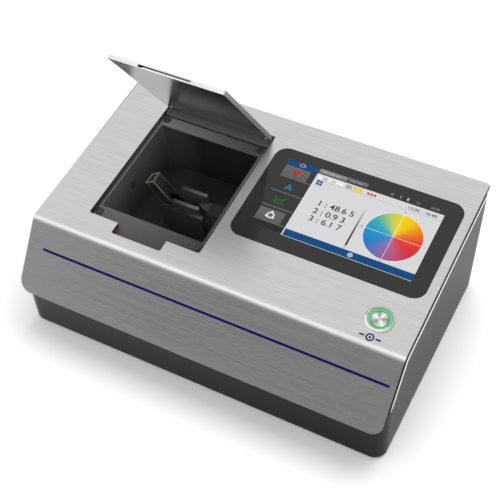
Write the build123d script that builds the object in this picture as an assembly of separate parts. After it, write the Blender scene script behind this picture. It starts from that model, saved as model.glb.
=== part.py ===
"""Benchtop colorimeter with a hinged sample-chamber lid, in millimetres.

World frame: +X to the right of the person who faces the front, +Y to the back, +Z up,
origin at the middle of the footprint on the table. The top deck slopes up to the back, so
everything fastened to it is drawn in the deck frame (x, s, h): s runs back along the deck
from the bend line, and h stands square on the deck, with h = 0 on its outer face.
"""
from build123d import *
import os
from math import cos, sin, radians, sqrt

# ---- driving dimensions -------------------------------------------------------------
BODY_WIDTH = 360.0
DECK_SLOPE = 5.4            # degrees, rising to the back
DECK_LENGTH = 196.0
APRON_SLOPE = 53.3          # degrees, falling to the front
APRON_LENGTH = 71.1
SHEET = 1.5                 # stainless cover
BEND_RADIUS = 9.0
SIDE_RIM = 1.2              # bevelled rim of the housing beside the cover
FOOT_HEIGHT = 3.0
BEND_HEIGHT = 108.0         # of the bend line above the table
FRONT_WALL = -35.0          # housing walls, measured back from the bend line
REAR_WALL = 193.0
WALL = 2.5
CORNER = 12.0
REAR_CORNER = 4.0
REAR_REACH = 198.7          # tip of the power rocker, the rearmost point
LIP_REACH = APRON_LENGTH * cos(radians(APRON_SLOPE))
BEND_Y = -(REAR_REACH - LIP_REACH) / 2      # puts the origin under the middle of the box

# opening in the deck, and the lid that closes it
OPEN_LEFT, OPEN_RIGHT = -134.4, -21.6
OPEN_FRONT, OPEN_REAR = 23.4, 171.1
NOTCH_LEFT, NOTCH_RIGHT, NOTCH_FRONT = -104.0, -54.3, 11.5
LID_GAP = 1.2
LID_SKIN = 1.0
LID_DEPTH = 4.0
LID_OPEN = 60.6             # degrees, the pose it rests in
AXIS_S, AXIS_H = 167.4, -3.0
PIN_RADIUS = 1.0
CHAMBER_MID = (OPEN_LEFT + OPEN_RIGHT) / 2

# ledge frame and well; the well sits a little to the left of the opening's middle
WELL_MID = CHAMBER_MID - 1.6
LEDGE_TOP = -5.5
LEDGE_SHEET = 1.5
LEDGE_REAR = 158.0
WINDOW_HALF, WINDOW_FRONT, WINDOW_REAR = 52.0, 38.2, 147.0
WELL_FLOOR = -62.0
TRAY = 1.5

# cuvette and its holder
CUVETTE_SIDE, CUVETTE_LENGTH, CUVETTE_WALL, CUVETTE_BASE = 12.5, 45.0, 1.25, 1.5
CUVETTE_LEAN = 36.0         # degrees to the left
MOUTH_X, MOUTH_H = -108.3, -9.5
SLOT_MID, SLOT_WIDTH, ARM = 87.7, 13.0, 3.7
ARM_LEFT, ARM_RIGHT, ARM_TOP = -83.0, -56.0, -20.0
BLOCK_RIGHT = WELL_MID + WINDOW_HALF + 1.0
OPTIC_H = -29.0

# display and button
GLASS_LEFT, GLASS_RIGHT, GLASS_FRONT, GLASS_REAR = -12.5, 169.5, 54.8, 163.2
GLASS_CORNER, GLASS_THICK, GLASS_PROUD = 12.0, 1.2, 0.2
PANEL_WIDTH, PANEL_DEPTH, PANEL_THICK = 165.0, 100.0, 5.0
BUTTON_X, BUTTON_S = 145.1, 24.9
BEZEL_RADIUS, RING_RADIUS, CAP_RADIUS = 12.5, 10.4, 7.6
BARREL_RADIUS = 11.0
BEZEL_HEIGHT = 2.2

# rear panel
PANEL_X, PANEL_Z, PLATE_WIDTH, PLATE_HEIGHT, PLATE = 86.0, 46.0, 146.0, 44.0, 1.5
SWITCH_X, JACK_X, USB_B_X, USB_A_X = 138.0, 108.0, 80.0, 50.0
ROCKER_TILT = 10.0

# small hardware
SCREW_RADIUS, HEAD_RADIUS, HEAD_HEIGHT = 1.5, 2.9, 1.3
LEDGE_SCREW_RADIUS, LEDGE_HEAD_RADIUS = 2.0, 3.7
NUT_ACROSS, NUT_HEIGHT = 5.5, 2.4
LEDGE_NUT_ACROSS = 7.0
THREAD_GAP = 0.06
BOARD = 1.6

DECK = Location((0, BEND_Y, BEND_HEIGHT), (DECK_SLOPE, 0, 0))
APRON = Location((0, BEND_Y, BEND_HEIGHT), (APRON_SLOPE, 0, 0))
OPEN_LID = DECK * Location((0, AXIS_S, AXIS_H), (-LID_OPEN, 0, 0)) * Location((0, -AXIS_S, -AXIS_H))
FLOOR_TOP = FOOT_HEIGHT + SHEET             # upper face of the base plate
PLATE_FACE = BEND_Y + REAR_WALL + PLATE     # outer face of the rear panel


# ---- helpers ------------------------------------------------------------------------
def block(x0, x1, y0, y1, z0, z1, radius=0.0):
    """Box between two corners; radius rounds its upright edges."""
    body = Pos((x0 + x1) / 2, (y0 + y1) / 2, (z0 + z1) / 2) * Box(x1 - x0, y1 - y0, z1 - z0)
    if radius:
        body = fillet(body.edges().filter_by(Axis.Z), radius)
    return body


def rod(x, y, z0, z1, radius):
    """Upright cylinder."""
    return Pos(x, y, (z0 + z1) / 2) * Cylinder(radius, z1 - z0)


def rod_x(x0, x1, y, z, radius):
    """Cylinder along X."""
    return Pos((x0 + x1) / 2, y, z) * Rot(0, 90, 0) * Cylinder(radius, x1 - x0)


def rod_y(x, y0, y1, z, radius):
    """Cylinder along Y."""
    return Pos(x, (y0 + y1) / 2, z) * Rot(90, 0, 0) * Cylinder(radius, y1 - y0)


def prism_x(points, x0, x1):
    """Solid with a (y, z) outline, carried along X."""
    face = make_face(Polyline(*[(x0, y, z) for y, z in points], close=True))
    return extrude(face, amount=x1 - x0, dir=(1, 0, 0))


def prism_y(points, y0, y1):
    """Solid with an (x, z) outline, carried along Y."""
    face = make_face(Polyline(*[(x, y0, z) for x, z in points], close=True))
    return extrude(face, amount=y1 - y0, dir=(0, 1, 0))


def pan_screw(x, y, seat, length, radius=SCREW_RADIUS, head_radius=HEAD_RADIUS):
    """Pan-head screw that points down from the face z = seat."""
    head = rod(x, y, seat, seat + HEAD_HEIGHT, head_radius)
    head = fillet(head.faces().sort_by(Axis.Z)[-1].edges(), HEAD_HEIGHT * 0.45)
    socket = Pos(x, y, seat + HEAD_HEIGHT) * Cylinder(1.0, 1.4)
    return head + rod(x, y, seat - length, seat, radius) - socket


def flipped(body, x, y, z):
    """The same piece turned over about a line along X through (y, z)."""
    return Pos(x, y, z) * Rot(180, 0, 0) * Pos(-x, -y, -z) * body


def nut(x, y, z0, radius=SCREW_RADIUS, across=NUT_ACROSS):
    """Hexagon nut that stands on z0."""
    blank = extrude(RegularPolygon(across / 2, 6, major_radius=False), NUT_HEIGHT)
    return Pos(x, y, z0) * blank - rod(x, y, z0 - 1, z0 + NUT_HEIGHT + 1, radius + THREAD_GAP)


def drilled(body, places, z0, z1, radius):
    """Body with an upright hole at each (x, y)."""
    for x, y in places:
        body = body - rod(x, y, z0, z1, radius)
    return body


def group(solids):
    """Separate solids that share one node."""
    return Compound(children=list(solids))


def save(name, body, place=None):
    """Writes one node."""
    placed = body if place is None else place * body
    export_step(placed, os.path.join("parts", name + ".step"))


# ---- steel cover ---------------------------------------------------------------------
def unit(degrees):
    return cos(radians(degrees)), sin(radians(degrees))


def cover_line(depth):
    """Lip, bend and rear points (y, z) of the cover's profile, set in by depth."""
    (dy, dz), (ay, az) = unit(DECK_SLOPE), unit(APRON_SLOPE)
    k = -depth / (1 + dy * ay + dz * az)
    bend = (k * (-dz - az), k * (dy + ay))
    lip = (-APRON_LENGTH * ay + depth * az, -APRON_LENGTH * az - depth * ay)
    rear = (DECK_LENGTH * dy + depth * dz, DECK_LENGTH * dz - depth * dy)
    return [(BEND_Y + y, BEND_HEIGHT + z) for y, z in (lip, bend, rear)]


def bend_edges(body, point):
    """Edges along X at a profile point."""
    return [e for e in body.edges().filter_by(Axis.X)
            if abs(e.center().Y - point[0]) < 0.01 and abs(e.center().Z - point[1]) < 0.01]


def deck_opening(grow=0.0):
    """Outline of the lid opening with its finger notch, from h = -20 to 20, grown by grow."""
    well = block(OPEN_LEFT - grow, OPEN_RIGHT + grow, OPEN_FRONT - grow, OPEN_REAR + grow, -20, 20, 2.0)
    notch = block(NOTCH_LEFT - grow, NOTCH_RIGHT + grow, NOTCH_FRONT - grow, OPEN_FRONT + 8, -20, 20, 2.0)
    return well + notch


def corner_edges(sheet, half):
    """Short edges through the sheet at its four corners."""
    return [e for e in sheet.edges() if abs(e.length - SHEET) < 0.02 and abs(abs(e.center().X) - half) < 0.01]


def steel_cover():
    """Sheet bent once, with the lid opening, the display window and the button hole."""
    half = BODY_WIDTH / 2 - SIDE_RIM
    outer, inner = cover_line(0.0), cover_line(SHEET)
    sheet = prism_x(outer + inner[::-1], -half, half)
    sheet = fillet(bend_edges(sheet, outer[1]), BEND_RADIUS)
    sheet = fillet(bend_edges(sheet, inner[1]), BEND_RADIUS - SHEET)
    sheet = fillet([e for e in corner_edges(sheet, half) if e.center().Z < BEND_HEIGHT - 40], CORNER)
    sheet = fillet([e for e in corner_edges(sheet, half) if e.center().Y > BEND_Y + 150], REAR_CORNER)
    window = block(GLASS_LEFT - 0.2, GLASS_RIGHT + 0.2, GLASS_FRONT - 0.2, GLASS_REAR + 0.2, -20, 20,
                   GLASS_CORNER + 0.2)
    return sheet - DECK * (deck_opening() + window + rod(BUTTON_X, BUTTON_S, -20, 20, BARREL_RADIUS + 0.2))


def apron_stripe():
    """Thin coloured line along the apron."""
    return block(-162.5, 172.6, -27.8, -26.2, 0, 0.12)


# studs welded under the deck, (x, s), by the plate that each holds; the plate is against the deck
CHAMBER_STUDS = [(x, s) for x in (OPEN_LEFT - 6.5, OPEN_RIGHT + 6.5 - 1.5) for s in (45.0, 92.0, 139.0)]
RAIL_STUDS = [(CHAMBER_MID - 40, 186.9), (CHAMBER_MID + 40, 186.9)]
DISPLAY_STUDS = [(x, s) for x in (15.0, 78.5, 142.0) for s in (GLASS_FRONT - 6.0, GLASS_REAR + 6.0)]
REAR_STUDS = [(-154.0, 182.0), (20.0, 182.0), (80.0, 182.0), (140.0, 182.0)]
FRONT_STUDS = [(x, -32.0) for x in (-130.0, -110.0, 110.0, 130.0)]
DECK_STUDS = CHAMBER_STUDS + RAIL_STUDS + DISPLAY_STUDS + REAR_STUDS
FLANGE = 1.5                # thickness of every plate that a stud holds
STUD_LENGTH = 6.0


def cover_studs():
    deck = [DECK * rod(x, s, -SHEET - STUD_LENGTH, -SHEET, SCREW_RADIUS) for x, s in DECK_STUDS]
    apron = [APRON * rod(x, s, -SHEET - STUD_LENGTH, -SHEET, SCREW_RADIUS) for x, s in FRONT_STUDS]
    return group(deck + apron)


# ---- housing -------------------------------------------------------------------------
def footprint(inset, z0, z1):
    """Rounded rectangle of the housing, set in, between two heights."""
    half = BODY_WIDTH / 2 - inset
    return block(-half, half, BEND_Y + FRONT_WALL + inset, BEND_Y + REAR_WALL - inset, z0, z1,
                 max(CORNER - inset, 1.0))


def under_cover():
    """Everything below the inner face of the cover."""
    inner = cover_line(SHEET)
    (dy, dz), (ay, az) = unit(DECK_SLOPE), unit(APRON_SLOPE)
    bend = inner[1]
    front = (bend[0] - 120 * ay, bend[1] - 120 * az)
    rear = (bend[0] + 260 * dy, bend[1] + 260 * dz)
    body = prism_x([front, bend, rear, (rear[0], -50), (front[0] - 1, -50)], -200, 200)
    return fillet(bend_edges(body, bend), BEND_RADIUS - SHEET)


FLANGE_WIDTH = 15.0
FLANGE_TOP = FLOOR_TOP + 2.0
BASE_SCREWS = ([(x, BEND_Y + y) for x in (-170.0, 170.0) for y in (0.0, 79.0, 158.0)]
               + [(x, BEND_Y + y) for x in (-85.0, 85.0) for y in (-25.0, 183.0)])
FEET = [(x, BEND_Y + y) for x in (-148.0, 148.0) for y in (-5.0, 165.0)]
PLATE_SCREWS = [(PANEL_X + i * (PLATE_WIDTH / 2 - 4), PANEL_Z + j * (PLATE_HEIGHT / 2 - 4))
                for i in (-1, 1) for j in (-1, 1)]


def lower_housing():
    shell = footprint(0, FOOT_HEIGHT, 150) & under_cover()
    rim = [e for e in shell.edges() if abs(abs(e.center().X) - BODY_WIDTH / 2) < 0.01
           and e.center().Z > 60 and abs(e.tangent_at(0.5).Z) < 0.9]
    shell = chamfer(rim, SIDE_RIM - 0.1)
    shell = shell - footprint(WALL, FLANGE_TOP, 160)
    shell = shell - footprint(WALL, FOOT_HEIGHT - 1, FLOOR_TOP)
    shell = shell - footprint(WALL + FLANGE_WIDTH, 0, 20)
    shell = drilled(shell, BASE_SCREWS, 0, 12, SCREW_RADIUS + THREAD_GAP)
    y0, y1 = BEND_Y + REAR_WALL - WALL - 1, BEND_Y + REAR_WALL + 1
    window = block(PANEL_X - PLATE_WIDTH / 2 + 8, PANEL_X + PLATE_WIDTH / 2 - 8, y0, y1,
                   PANEL_Z - PLATE_HEIGHT / 2 + 6, PANEL_Z + PLATE_HEIGHT / 2 - 6)
    shell = shell - window
    for x, z in PLATE_SCREWS:
        shell = shell - rod_y(x, y0, y1, z, SCREW_RADIUS + THREAD_GAP)
    for x, z in REAR_BRACKET_SCREWS:
        shell = shell - rod_y(x, y0, y1, z, SCREW_RADIUS + 0.2)
    return shell


VENT_ROWS = [(x, BEND_Y + y) for x in range(-120, 121, 12) for y in (40.0, 110.0)]


def base_plate():
    plate = footprint(WALL + 0.3, FOOT_HEIGHT, FLOOR_TOP)
    plate = drilled(plate, BASE_SCREWS + FEET, 0, 8, SCREW_RADIUS + 0.2)
    plate = drilled(plate, BOARD_POSTS, 0, 8, SCREW_RADIUS + 0.2)
    for x, y in VENT_ROWS:
        plate = plate - block(x - 1.4, x + 1.4, y - 14, y + 14, 0, 8, 1.3)
    return plate


def base_screws():
    return group(flipped(pan_screw(x, y, FOOT_HEIGHT, 5.0), x, y, FOOT_HEIGHT) for x, y in BASE_SCREWS)


def rubber_feet():
    """Round pads, each with a recess for its screw head."""
    pads = []
    for x, y in FEET:
        pad = Pos(x, y, FOOT_HEIGHT / 2) * Cone(8.4, 9.2, FOOT_HEIGHT)
        pads.append(pad - rod(x, y, -1, 1.5, 3.4) - rod(x, y, -1, 9, SCREW_RADIUS + 0.2))
    return group(pads)


def foot_screws():
    return group(flipped(pan_screw(x, y, 1.5, 8.0), x, y, 1.5) for x, y in FEET)


REAR_BRACKET_SCREWS = [(-154.0, 102.0), (30.0, 102.0), (130.0, 102.0)]


def rear_angle(x0, x1):
    """Angle that ties the deck to the rear wall."""
    inner = BEND_Y + REAR_WALL - WALL
    flange = DECK * block(x0, x1, 176, 196, -SHEET - FLANGE, -SHEET)
    flange = flange & block(x0, x1, inner - 30, inner, 90, 140)
    leg = block(x0, x1, inner - FLANGE, inner, 95, 140) & under_cover()
    bracket = flange + leg
    for x, s in REAR_STUDS:
        if x0 < x < x1:
            bracket = bracket - DECK * rod(x, s, -9, 0, SCREW_RADIUS + 0.2)
    for x, z in REAR_BRACKET_SCREWS:
        if x0 < x < x1:
            bracket = bracket - rod_y(x, inner - 5, inner + 1, z, SCREW_RADIUS + THREAD_GAP)
    return bracket


def rear_brackets():
    return group([rear_angle(-167, -140), rear_angle(0, 160)])


def front_angle(middle):
    """Short angle that ties the apron to the front wall."""
    x0, x1 = middle - 20, middle + 20
    flange = APRON * block(x0, x1, -60.0, -24.0, -SHEET - FLANGE, -SHEET)
    inner = BEND_Y + FRONT_WALL + WALL
    keep = block(x0, x1, inner, inner + 60, 20, 130)
    leg = block(x0, x1, inner, inner + FLANGE, 40, 100) & under_cover()
    bracket = (flange & keep) + leg
    for x, s in FRONT_STUDS:
        if x0 < x < x1:
            bracket = bracket - APRON * rod(x, s, -9, 0, SCREW_RADIUS + 0.2)
    return bracket


def front_brackets():
    return group([front_angle(-120), front_angle(120)])


def side_screw(x, y, z, length):
    """Pan-head screw along Y, with its head behind the face y and its tip to the front."""
    return Location((x, y, z), (-90, 0, 0)) * pan_screw(0, 0, 0, length)


def rear_wall_screws():
    face = BEND_Y + REAR_WALL
    return group(side_screw(x, face, z, 7.0) for x, z in REAR_BRACKET_SCREWS)


# ---- rear panel ----------------------------------------------------------------------
def rear_panel():
    y0, y1 = BEND_Y + REAR_WALL, PLATE_FACE
    plate = Pos(PANEL_X, (y0 + y1) / 2, PANEL_Z) * Box(PLATE_WIDTH, PLATE, PLATE_HEIGHT)
    plate = fillet(plate.edges().filter_by(Axis.Y), 3.0)
    for x, z in PLATE_SCREWS:
        plate = plate - rod_y(x, y0 - 1, y1 + 1, z, SCREW_RADIUS + 0.2)
    plate = plate - block(SWITCH_X - 6.6, SWITCH_X + 6.6, y0 - 1, y1 + 1, PANEL_Z - 9.7, PANEL_Z + 9.7)
    plate = plate - rod_y(JACK_X, y0 - 1, y1 + 1, PANEL_Z, 5.6)
    plate = plate - block(USB_B_X - 6.1, USB_B_X + 6.1, y0 - 1, y1 + 1, PANEL_Z - 5.6, PANEL_Z + 5.6)
    return plate - block(USB_A_X - 7.4, USB_A_X + 7.4, y0 - 1, y1 + 1, PANEL_Z - 3.8, PANEL_Z + 3.8)


def rear_panel_screws():
    return group(side_screw(x, PLATE_FACE, z, 5.0) for x, z in PLATE_SCREWS)


PIVOT_Y = PLATE_FACE - 0.95
ROCKER_TIP = 7.5


def power_switch_body():
    """Snap-in frame of the rocker switch, open to the back."""
    bezel = block(SWITCH_X - 7.5, SWITCH_X + 7.5, PLATE_FACE, PLATE_FACE + 1.4, PANEL_Z - 10.6, PANEL_Z + 10.6)
    bezel = fillet(bezel.edges().filter_by(Axis.Y), 1.5)
    body = bezel + block(SWITCH_X - 6.4, SWITCH_X + 6.4, PLATE_FACE - 17, PLATE_FACE, PANEL_Z - 9.5, PANEL_Z + 9.5)
    body = body - block(SWITCH_X - 5.0, SWITCH_X + 5.0, PLATE_FACE - 8, PLATE_FACE + 3, PANEL_Z - 8.9, PANEL_Z + 8.9)
    for z in (-5.0, 5.0):
        tab = block(SWITCH_X - 2.4, SWITCH_X + 2.4, PLATE_FACE - 24, PLATE_FACE - 16.5, z - 0.4, z + 0.4)
        body = body + Pos(0, 0, PANEL_Z) * tab
    return body - rod_x(SWITCH_X - 6.0, SWITCH_X + 6.0, PIVOT_Y, PANEL_Z, 1.05)


def power_rocker():
    """Rocker with its axle, tilted to the off side."""
    outline = [(3.0, 0), (4.1, ROCKER_TIP), (1.0, ROCKER_TIP), (-3.2, 3.6), (-3.2, -3.6),
               (1.0, -ROCKER_TIP), (4.1, -ROCKER_TIP)]
    body = prism_x(outline, -4.7, 4.7)
    body = fillet(body.edges().filter_by(Axis.X).sort_by(Axis.Y)[-2:], 0.6)
    body = body + rod_x(-5.9, 5.9, 0, 0, 1.0)
    return Location((SWITCH_X, PIVOT_Y, PANEL_Z), (ROCKER_TILT, 0, 0)) * body


def dc_jack():
    """Barrel socket: body with a round nose, and its centre pin."""
    nose = rod_y(JACK_X, PLATE_FACE - 12, PLATE_FACE + 1.0, PANEL_Z, 5.4)
    flange = rod_y(JACK_X, PLATE_FACE, PLATE_FACE + 1.6, PANEL_Z, 7.0)
    body = nose + flange + block(JACK_X - 5.4, JACK_X + 5.4, PLATE_FACE - 16, PLATE_FACE - 5,
                                 PANEL_Z - 5.4, PANEL_Z + 5.4)
    body = body - rod_y(JACK_X, PLATE_FACE - 10, PLATE_FACE + 3, PANEL_Z, 3.2)
    pin = rod_y(JACK_X, PLATE_FACE - 10, PLATE_FACE - 1.5, PANEL_Z, 1.05)
    return group([body, pin])


def usb_b_port():
    """Square socket with its tongue."""
    y0, y1 = PLATE_FACE - 15, PLATE_FACE + 0.5
    body = block(USB_B_X - 6.0, USB_B_X + 6.0, y0, y1, PANEL_Z - 5.5, PANEL_Z + 5.5)
    body = body - block(USB_B_X - 4.25, USB_B_X + 4.25, y1 - 9, y1 + 1, PANEL_Z - 3.9, PANEL_Z + 3.9)
    tongue = block(USB_B_X - 2.8, USB_B_X + 2.8, y1 - 9, y1 - 1, PANEL_Z - 1.6, PANEL_Z + 1.6)
    return group([body, tongue])


def usb_a_port():
    """Flat socket with its tongue."""
    y0, y1 = PLATE_FACE - 15, PLATE_FACE + 0.5
    body = block(USB_A_X - 7.2, USB_A_X + 7.2, y0, y1, PANEL_Z - 3.6, PANEL_Z + 3.6)
    body = body - block(USB_A_X - 6.25, USB_A_X + 6.25, y1 - 10, y1 + 1, PANEL_Z - 2.55, PANEL_Z + 2.55)
    tongue = block(USB_A_X - 5.6, USB_A_X + 5.6, y1 - 10, y1 - 1, PANEL_Z + 0.2, PANEL_Z + 1.9)
    return group([body, tongue])


# ---- sample chamber ------------------------------------------------------------------
FRAME_SCREWS = [(WELL_MID + i * 50.0, s) for i in (-1, 1) for s in (31.8, 153.5)]
RIM_SHEET = 1.2
RIM_GAP = 0.2


def chamber_frame():
    """Grey ledge round the well, with an upstand to the deck and two flanges for the studs."""
    low, seat = LEDGE_TOP - LEDGE_SHEET, -SHEET
    outer = deck_opening(RIM_GAP + RIM_SHEET) & block(-200, 0, 0, LEDGE_REAR, low, seat)
    inner = deck_opening(RIM_GAP) & block(-200, 0, 0, LEDGE_REAR + 1, LEDGE_TOP, seat + 1)
    frame = outer - inner
    grow = RIM_GAP + RIM_SHEET
    for x0, x1 in ((OPEN_LEFT - 12.5, OPEN_LEFT - grow), (OPEN_RIGHT + grow, OPEN_RIGHT + 8.8)):
        frame = frame + block(x0, x1, 30, 154, seat - FLANGE, seat)
    window = block(WELL_MID - WINDOW_HALF, WELL_MID + WINDOW_HALF, WINDOW_FRONT, WINDOW_REAR,
                   low - 1, 5, 1.0)
    frame = drilled(frame - window, FRAME_SCREWS, low - 1, 0, LEDGE_SCREW_RADIUS + 0.2)
    return drilled(frame, CHAMBER_STUDS, -9, 0, SCREW_RADIUS + 0.2)


TRAY_TOP = LEDGE_TOP - LEDGE_SHEET
TRAY_HALF = WINDOW_HALF + 0.5
HOLDER_SCREWS = [(-60.0, SLOT_MID), (-36.0, SLOT_MID)]


def chamber_tray():
    """Black box of the well, with a flange under the ledge frame and two light ports."""
    left, right = WELL_MID - TRAY_HALF, WELL_MID + TRAY_HALF
    front, rear = WINDOW_FRONT - 0.5, WINDOW_REAR + 0.5
    box = block(left - TRAY, right + TRAY, front - TRAY, rear + TRAY, WELL_FLOOR - TRAY, TRAY_TOP, 3.0)
    flange = block(left - 3, right + 3, 26, 158, TRAY_TOP - TRAY, TRAY_TOP, 2.0)
    tray = box + flange - block(left, right, front, rear, WELL_FLOOR, TRAY_TOP + 1, 1.5)
    tray = tray - rod_x(left - TRAY - 1, left + 1, SLOT_MID, OPTIC_H, 4.0)
    tray = tray - rod_x(right - 1, right + TRAY + 1, SLOT_MID, OPTIC_H, 4.0)
    tray = drilled(tray, FRAME_SCREWS, TRAY_TOP - 5, 0, LEDGE_SCREW_RADIUS + THREAD_GAP)
    return drilled(tray, HOLDER_SCREWS, WELL_FLOOR - 5, WELL_FLOOR + 1, SCREW_RADIUS + 0.2)


def frame_screws():
    return group(pan_screw(x, s, LEDGE_TOP, 7.0, LEDGE_SCREW_RADIUS, LEDGE_HEAD_RADIUS)
                 for x, s in FRAME_SCREWS)


def hex_nuts():
    """Nuts of the cover studs, the ledge frame's screws and the feet."""
    level = -SHEET - FLANGE - NUT_HEIGHT
    deck = [DECK * nut(x, s, level) for x, s in DECK_STUDS]
    apron = [APRON * nut(x, s, level) for x, s in FRONT_STUDS]
    ledge = [DECK * nut(x, s, TRAY_TOP - TRAY - NUT_HEIGHT, LEDGE_SCREW_RADIUS, LEDGE_NUT_ACROSS)
             for x, s in FRAME_SCREWS]
    return group(deck + apron + ledge + [nut(x, y, FLOOR_TOP) for x, y in FEET])


# cuvette: its bottom centre, and the corner that lies deepest in the vee
LEAN_X, LEAN_H = sin(radians(CUVETTE_LEAN)), cos(radians(CUVETTE_LEAN))
BASE_X = MOUTH_X + CUVETTE_LENGTH * LEAN_X
BASE_H = MOUTH_H - CUVETTE_LENGTH * LEAN_H
VEE_X = BASE_X - CUVETTE_SIDE / 2 * LEAN_H
VEE_H = BASE_H - CUVETTE_SIDE / 2 * LEAN_X
SEAT_GAP = 0.05


def cuvette():
    """Square clear cell, open at the top, leaning to the left."""
    half = CUVETTE_SIDE / 2
    cell = block(-half, half, -half, half, 0, CUVETTE_LENGTH, 0.6)
    bore = half - CUVETTE_WALL
    cell = cell - block(-bore, bore, -bore, bore, CUVETTE_BASE, CUVETTE_LENGTH + 1, 0.4)
    return Location((BASE_X, SLOT_MID, BASE_H), (0, -CUVETTE_LEAN, 0)) * cell


def cuvette_holder():
    """Block with a vee for the cuvette, two arms beside it and a step in front."""
    s0, s1 = SLOT_MID - SLOT_WIDTH / 2 - ARM, SLOT_MID + SLOT_WIDTH / 2 + ARM
    foot_block = block(-99, BLOCK_RIGHT - 1, s0, s1, WELL_FLOOR, -49)
    vee_left = block(-97, VEE_X, s0, s1, -50, -32)
    vee_right = block(VEE_X - 1, BLOCK_RIGHT - 1, s0, s1, -50, -34.0)
    arms = block(ARM_LEFT, ARM_RIGHT, s0, s0 + ARM, -50, ARM_TOP, 0.8)
    arms = arms + block(ARM_LEFT, ARM_RIGHT, s1 - ARM, s1, -50, ARM_TOP, 0.8)
    step = block(ARM_LEFT, -51.2, s0 - ARM, s0 + 0.5, WELL_FLOOR, -27.5)
    body = foot_block + vee_left + vee_right + arms + step
    x, h = VEE_X - SEAT_GAP * (LEAN_H - LEAN_X), VEE_H - SEAT_GAP * (LEAN_H + LEAN_X)
    reach = 60
    vee = [(x, h), (x - reach * LEAN_X, h + reach * LEAN_H), (x + reach * LEAN_H, h + reach * LEAN_X)]
    body = body - prism_y(vee, s0 + ARM, s1 - ARM)
    tongue = block(-50, BLOCK_RIGHT - 1, s0 + ARM, s1 - ARM, -36, -24.5)
    body = body + tongue - rod_x(-51, BLOCK_RIGHT, SLOT_MID, OPTIC_H, 3.0)
    return drilled(body, HOLDER_SCREWS, WELL_FLOOR - 1, WELL_FLOOR + 9, SCREW_RADIUS + THREAD_GAP)


def holder_screws():
    seat = WELL_FLOOR - TRAY
    return group(flipped(pan_screw(x, s, seat, 9.0), x, s, seat) for x, s in HOLDER_SCREWS)


def light_nozzle():
    """Wedge-shaped snout that points at the cuvette, with its light bore."""
    outline = [(-50.0, SLOT_MID - 5.4), (-50.0, SLOT_MID + 5.4), (-60.4, SLOT_MID + 0.7),
               (-60.4, SLOT_MID - 0.7)]
    face = make_face(Polyline(*[(x, s, -33.5) for x, s in outline], close=True))
    return extrude(face, 9.0) - rod_x(-62, -49, SLOT_MID, OPTIC_H, 0.5)


# ---- light source, left of the well --------------------------------------------------
TRAY_LEFT = WELL_MID - TRAY_HALF - TRAY
TRAY_RIGHT = WELL_MID + TRAY_HALF + TRAY


def lamp_window():
    return rod_x(TRAY_LEFT - 1.5, TRAY_LEFT, SLOT_MID, OPTIC_H, 6.0)


def lamp_housing():
    """Box round the window and the light-emitting diode, open to the well."""
    x1, x0 = TRAY_LEFT, TRAY_LEFT - 24
    box = block(x0, x1, SLOT_MID - 14, SLOT_MID + 14, OPTIC_H - 14, OPTIC_H + 14)
    box = box - rod_x(x1 - 1.6, x1 + 1, SLOT_MID, OPTIC_H, 6.1)
    return box - rod_x(x0 - 1, x1, SLOT_MID, OPTIC_H, 4.6)


def lamp_led():
    """Star board with the emitter dome."""
    x0 = TRAY_LEFT - 24
    board = rod_x(x0 - 1.6, x0, SLOT_MID, OPTIC_H, 10.0)
    dome = Pos(x0, SLOT_MID, OPTIC_H) * Rot(0, 90, 0) * (Sphere(2.6) & Pos(0, 0, 2.6) * Box(8, 8, 5.2))
    return board + dome


def heat_sink():
    """Finned block against the star board."""
    x1 = TRAY_LEFT - 25.6
    sink = block(x1 - 3, x1, SLOT_MID - 15, SLOT_MID + 15, OPTIC_H - 15, OPTIC_H + 15)
    for i in range(6):
        s = SLOT_MID - 15 + i * 5.6
        sink = sink + block(x1 - 12, x1 - 3, s, s + 2.0, OPTIC_H - 15, OPTIC_H + 15)
    return sink


# ---- spectrometer, right of the well -------------------------------------------------
SPEC_X0, SPEC_X1, SPEC_S0, SPEC_S1, SPEC_H0, SPEC_H1 = -6.0, 92.0, 54.0, 122.0, -62.0, -20.0


def lens_barrel():
    tube = rod_x(TRAY_RIGHT, SPEC_X0, SLOT_MID, OPTIC_H, 8.0)
    tube = tube + rod_x(TRAY_RIGHT, TRAY_RIGHT + 2, SLOT_MID, OPTIC_H, 11.0)
    tube = tube - rod_x(TRAY_RIGHT + 5, SPEC_X0 + 1, SLOT_MID, OPTIC_H, 6.3)
    return tube - rod_x(TRAY_RIGHT - 1, TRAY_RIGHT + 6, SLOT_MID, OPTIC_H, 4.0)


def collecting_lens():
    """Plano-convex lens on the shoulder of the barrel."""
    radius, ball, thick = 6.2, 11.0, 4.0
    edge = thick - ball + sqrt(ball ** 2 - radius ** 2)
    mid = radius / 2
    bulge = thick - ball + sqrt(ball ** 2 - mid ** 2)
    outline = Polyline((0, 0, 0), (0, 0, radius), (edge, 0, radius)) + Line((0, 0, 0), (thick, 0, 0))
    face = make_face(outline + ThreePointArc((edge, 0, radius), (bulge, 0, mid), (thick, 0, 0)))
    return Pos(TRAY_RIGHT + 5, SLOT_MID, OPTIC_H) * revolve(face, Axis.X)


def spectrometer_housing():
    box = block(SPEC_X0, SPEC_X1, SPEC_S0, SPEC_S1, SPEC_H0, SPEC_H1, 4.0)
    box = box - block(SPEC_X0 + 3, SPEC_X1 - 3, SPEC_S0 + 3, SPEC_S1 - 3, SPEC_H0 + 3, SPEC_H1 + 1, 2.0)
    return box - rod_x(SPEC_X0 - 1, SPEC_X0 + 4, SLOT_MID, OPTIC_H, 4.0)


def spectrometer_cover():
    return block(SPEC_X0, SPEC_X1, SPEC_S0, SPEC_S1, SPEC_H1, SPEC_H1 + 1.5, 4.0)


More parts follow.
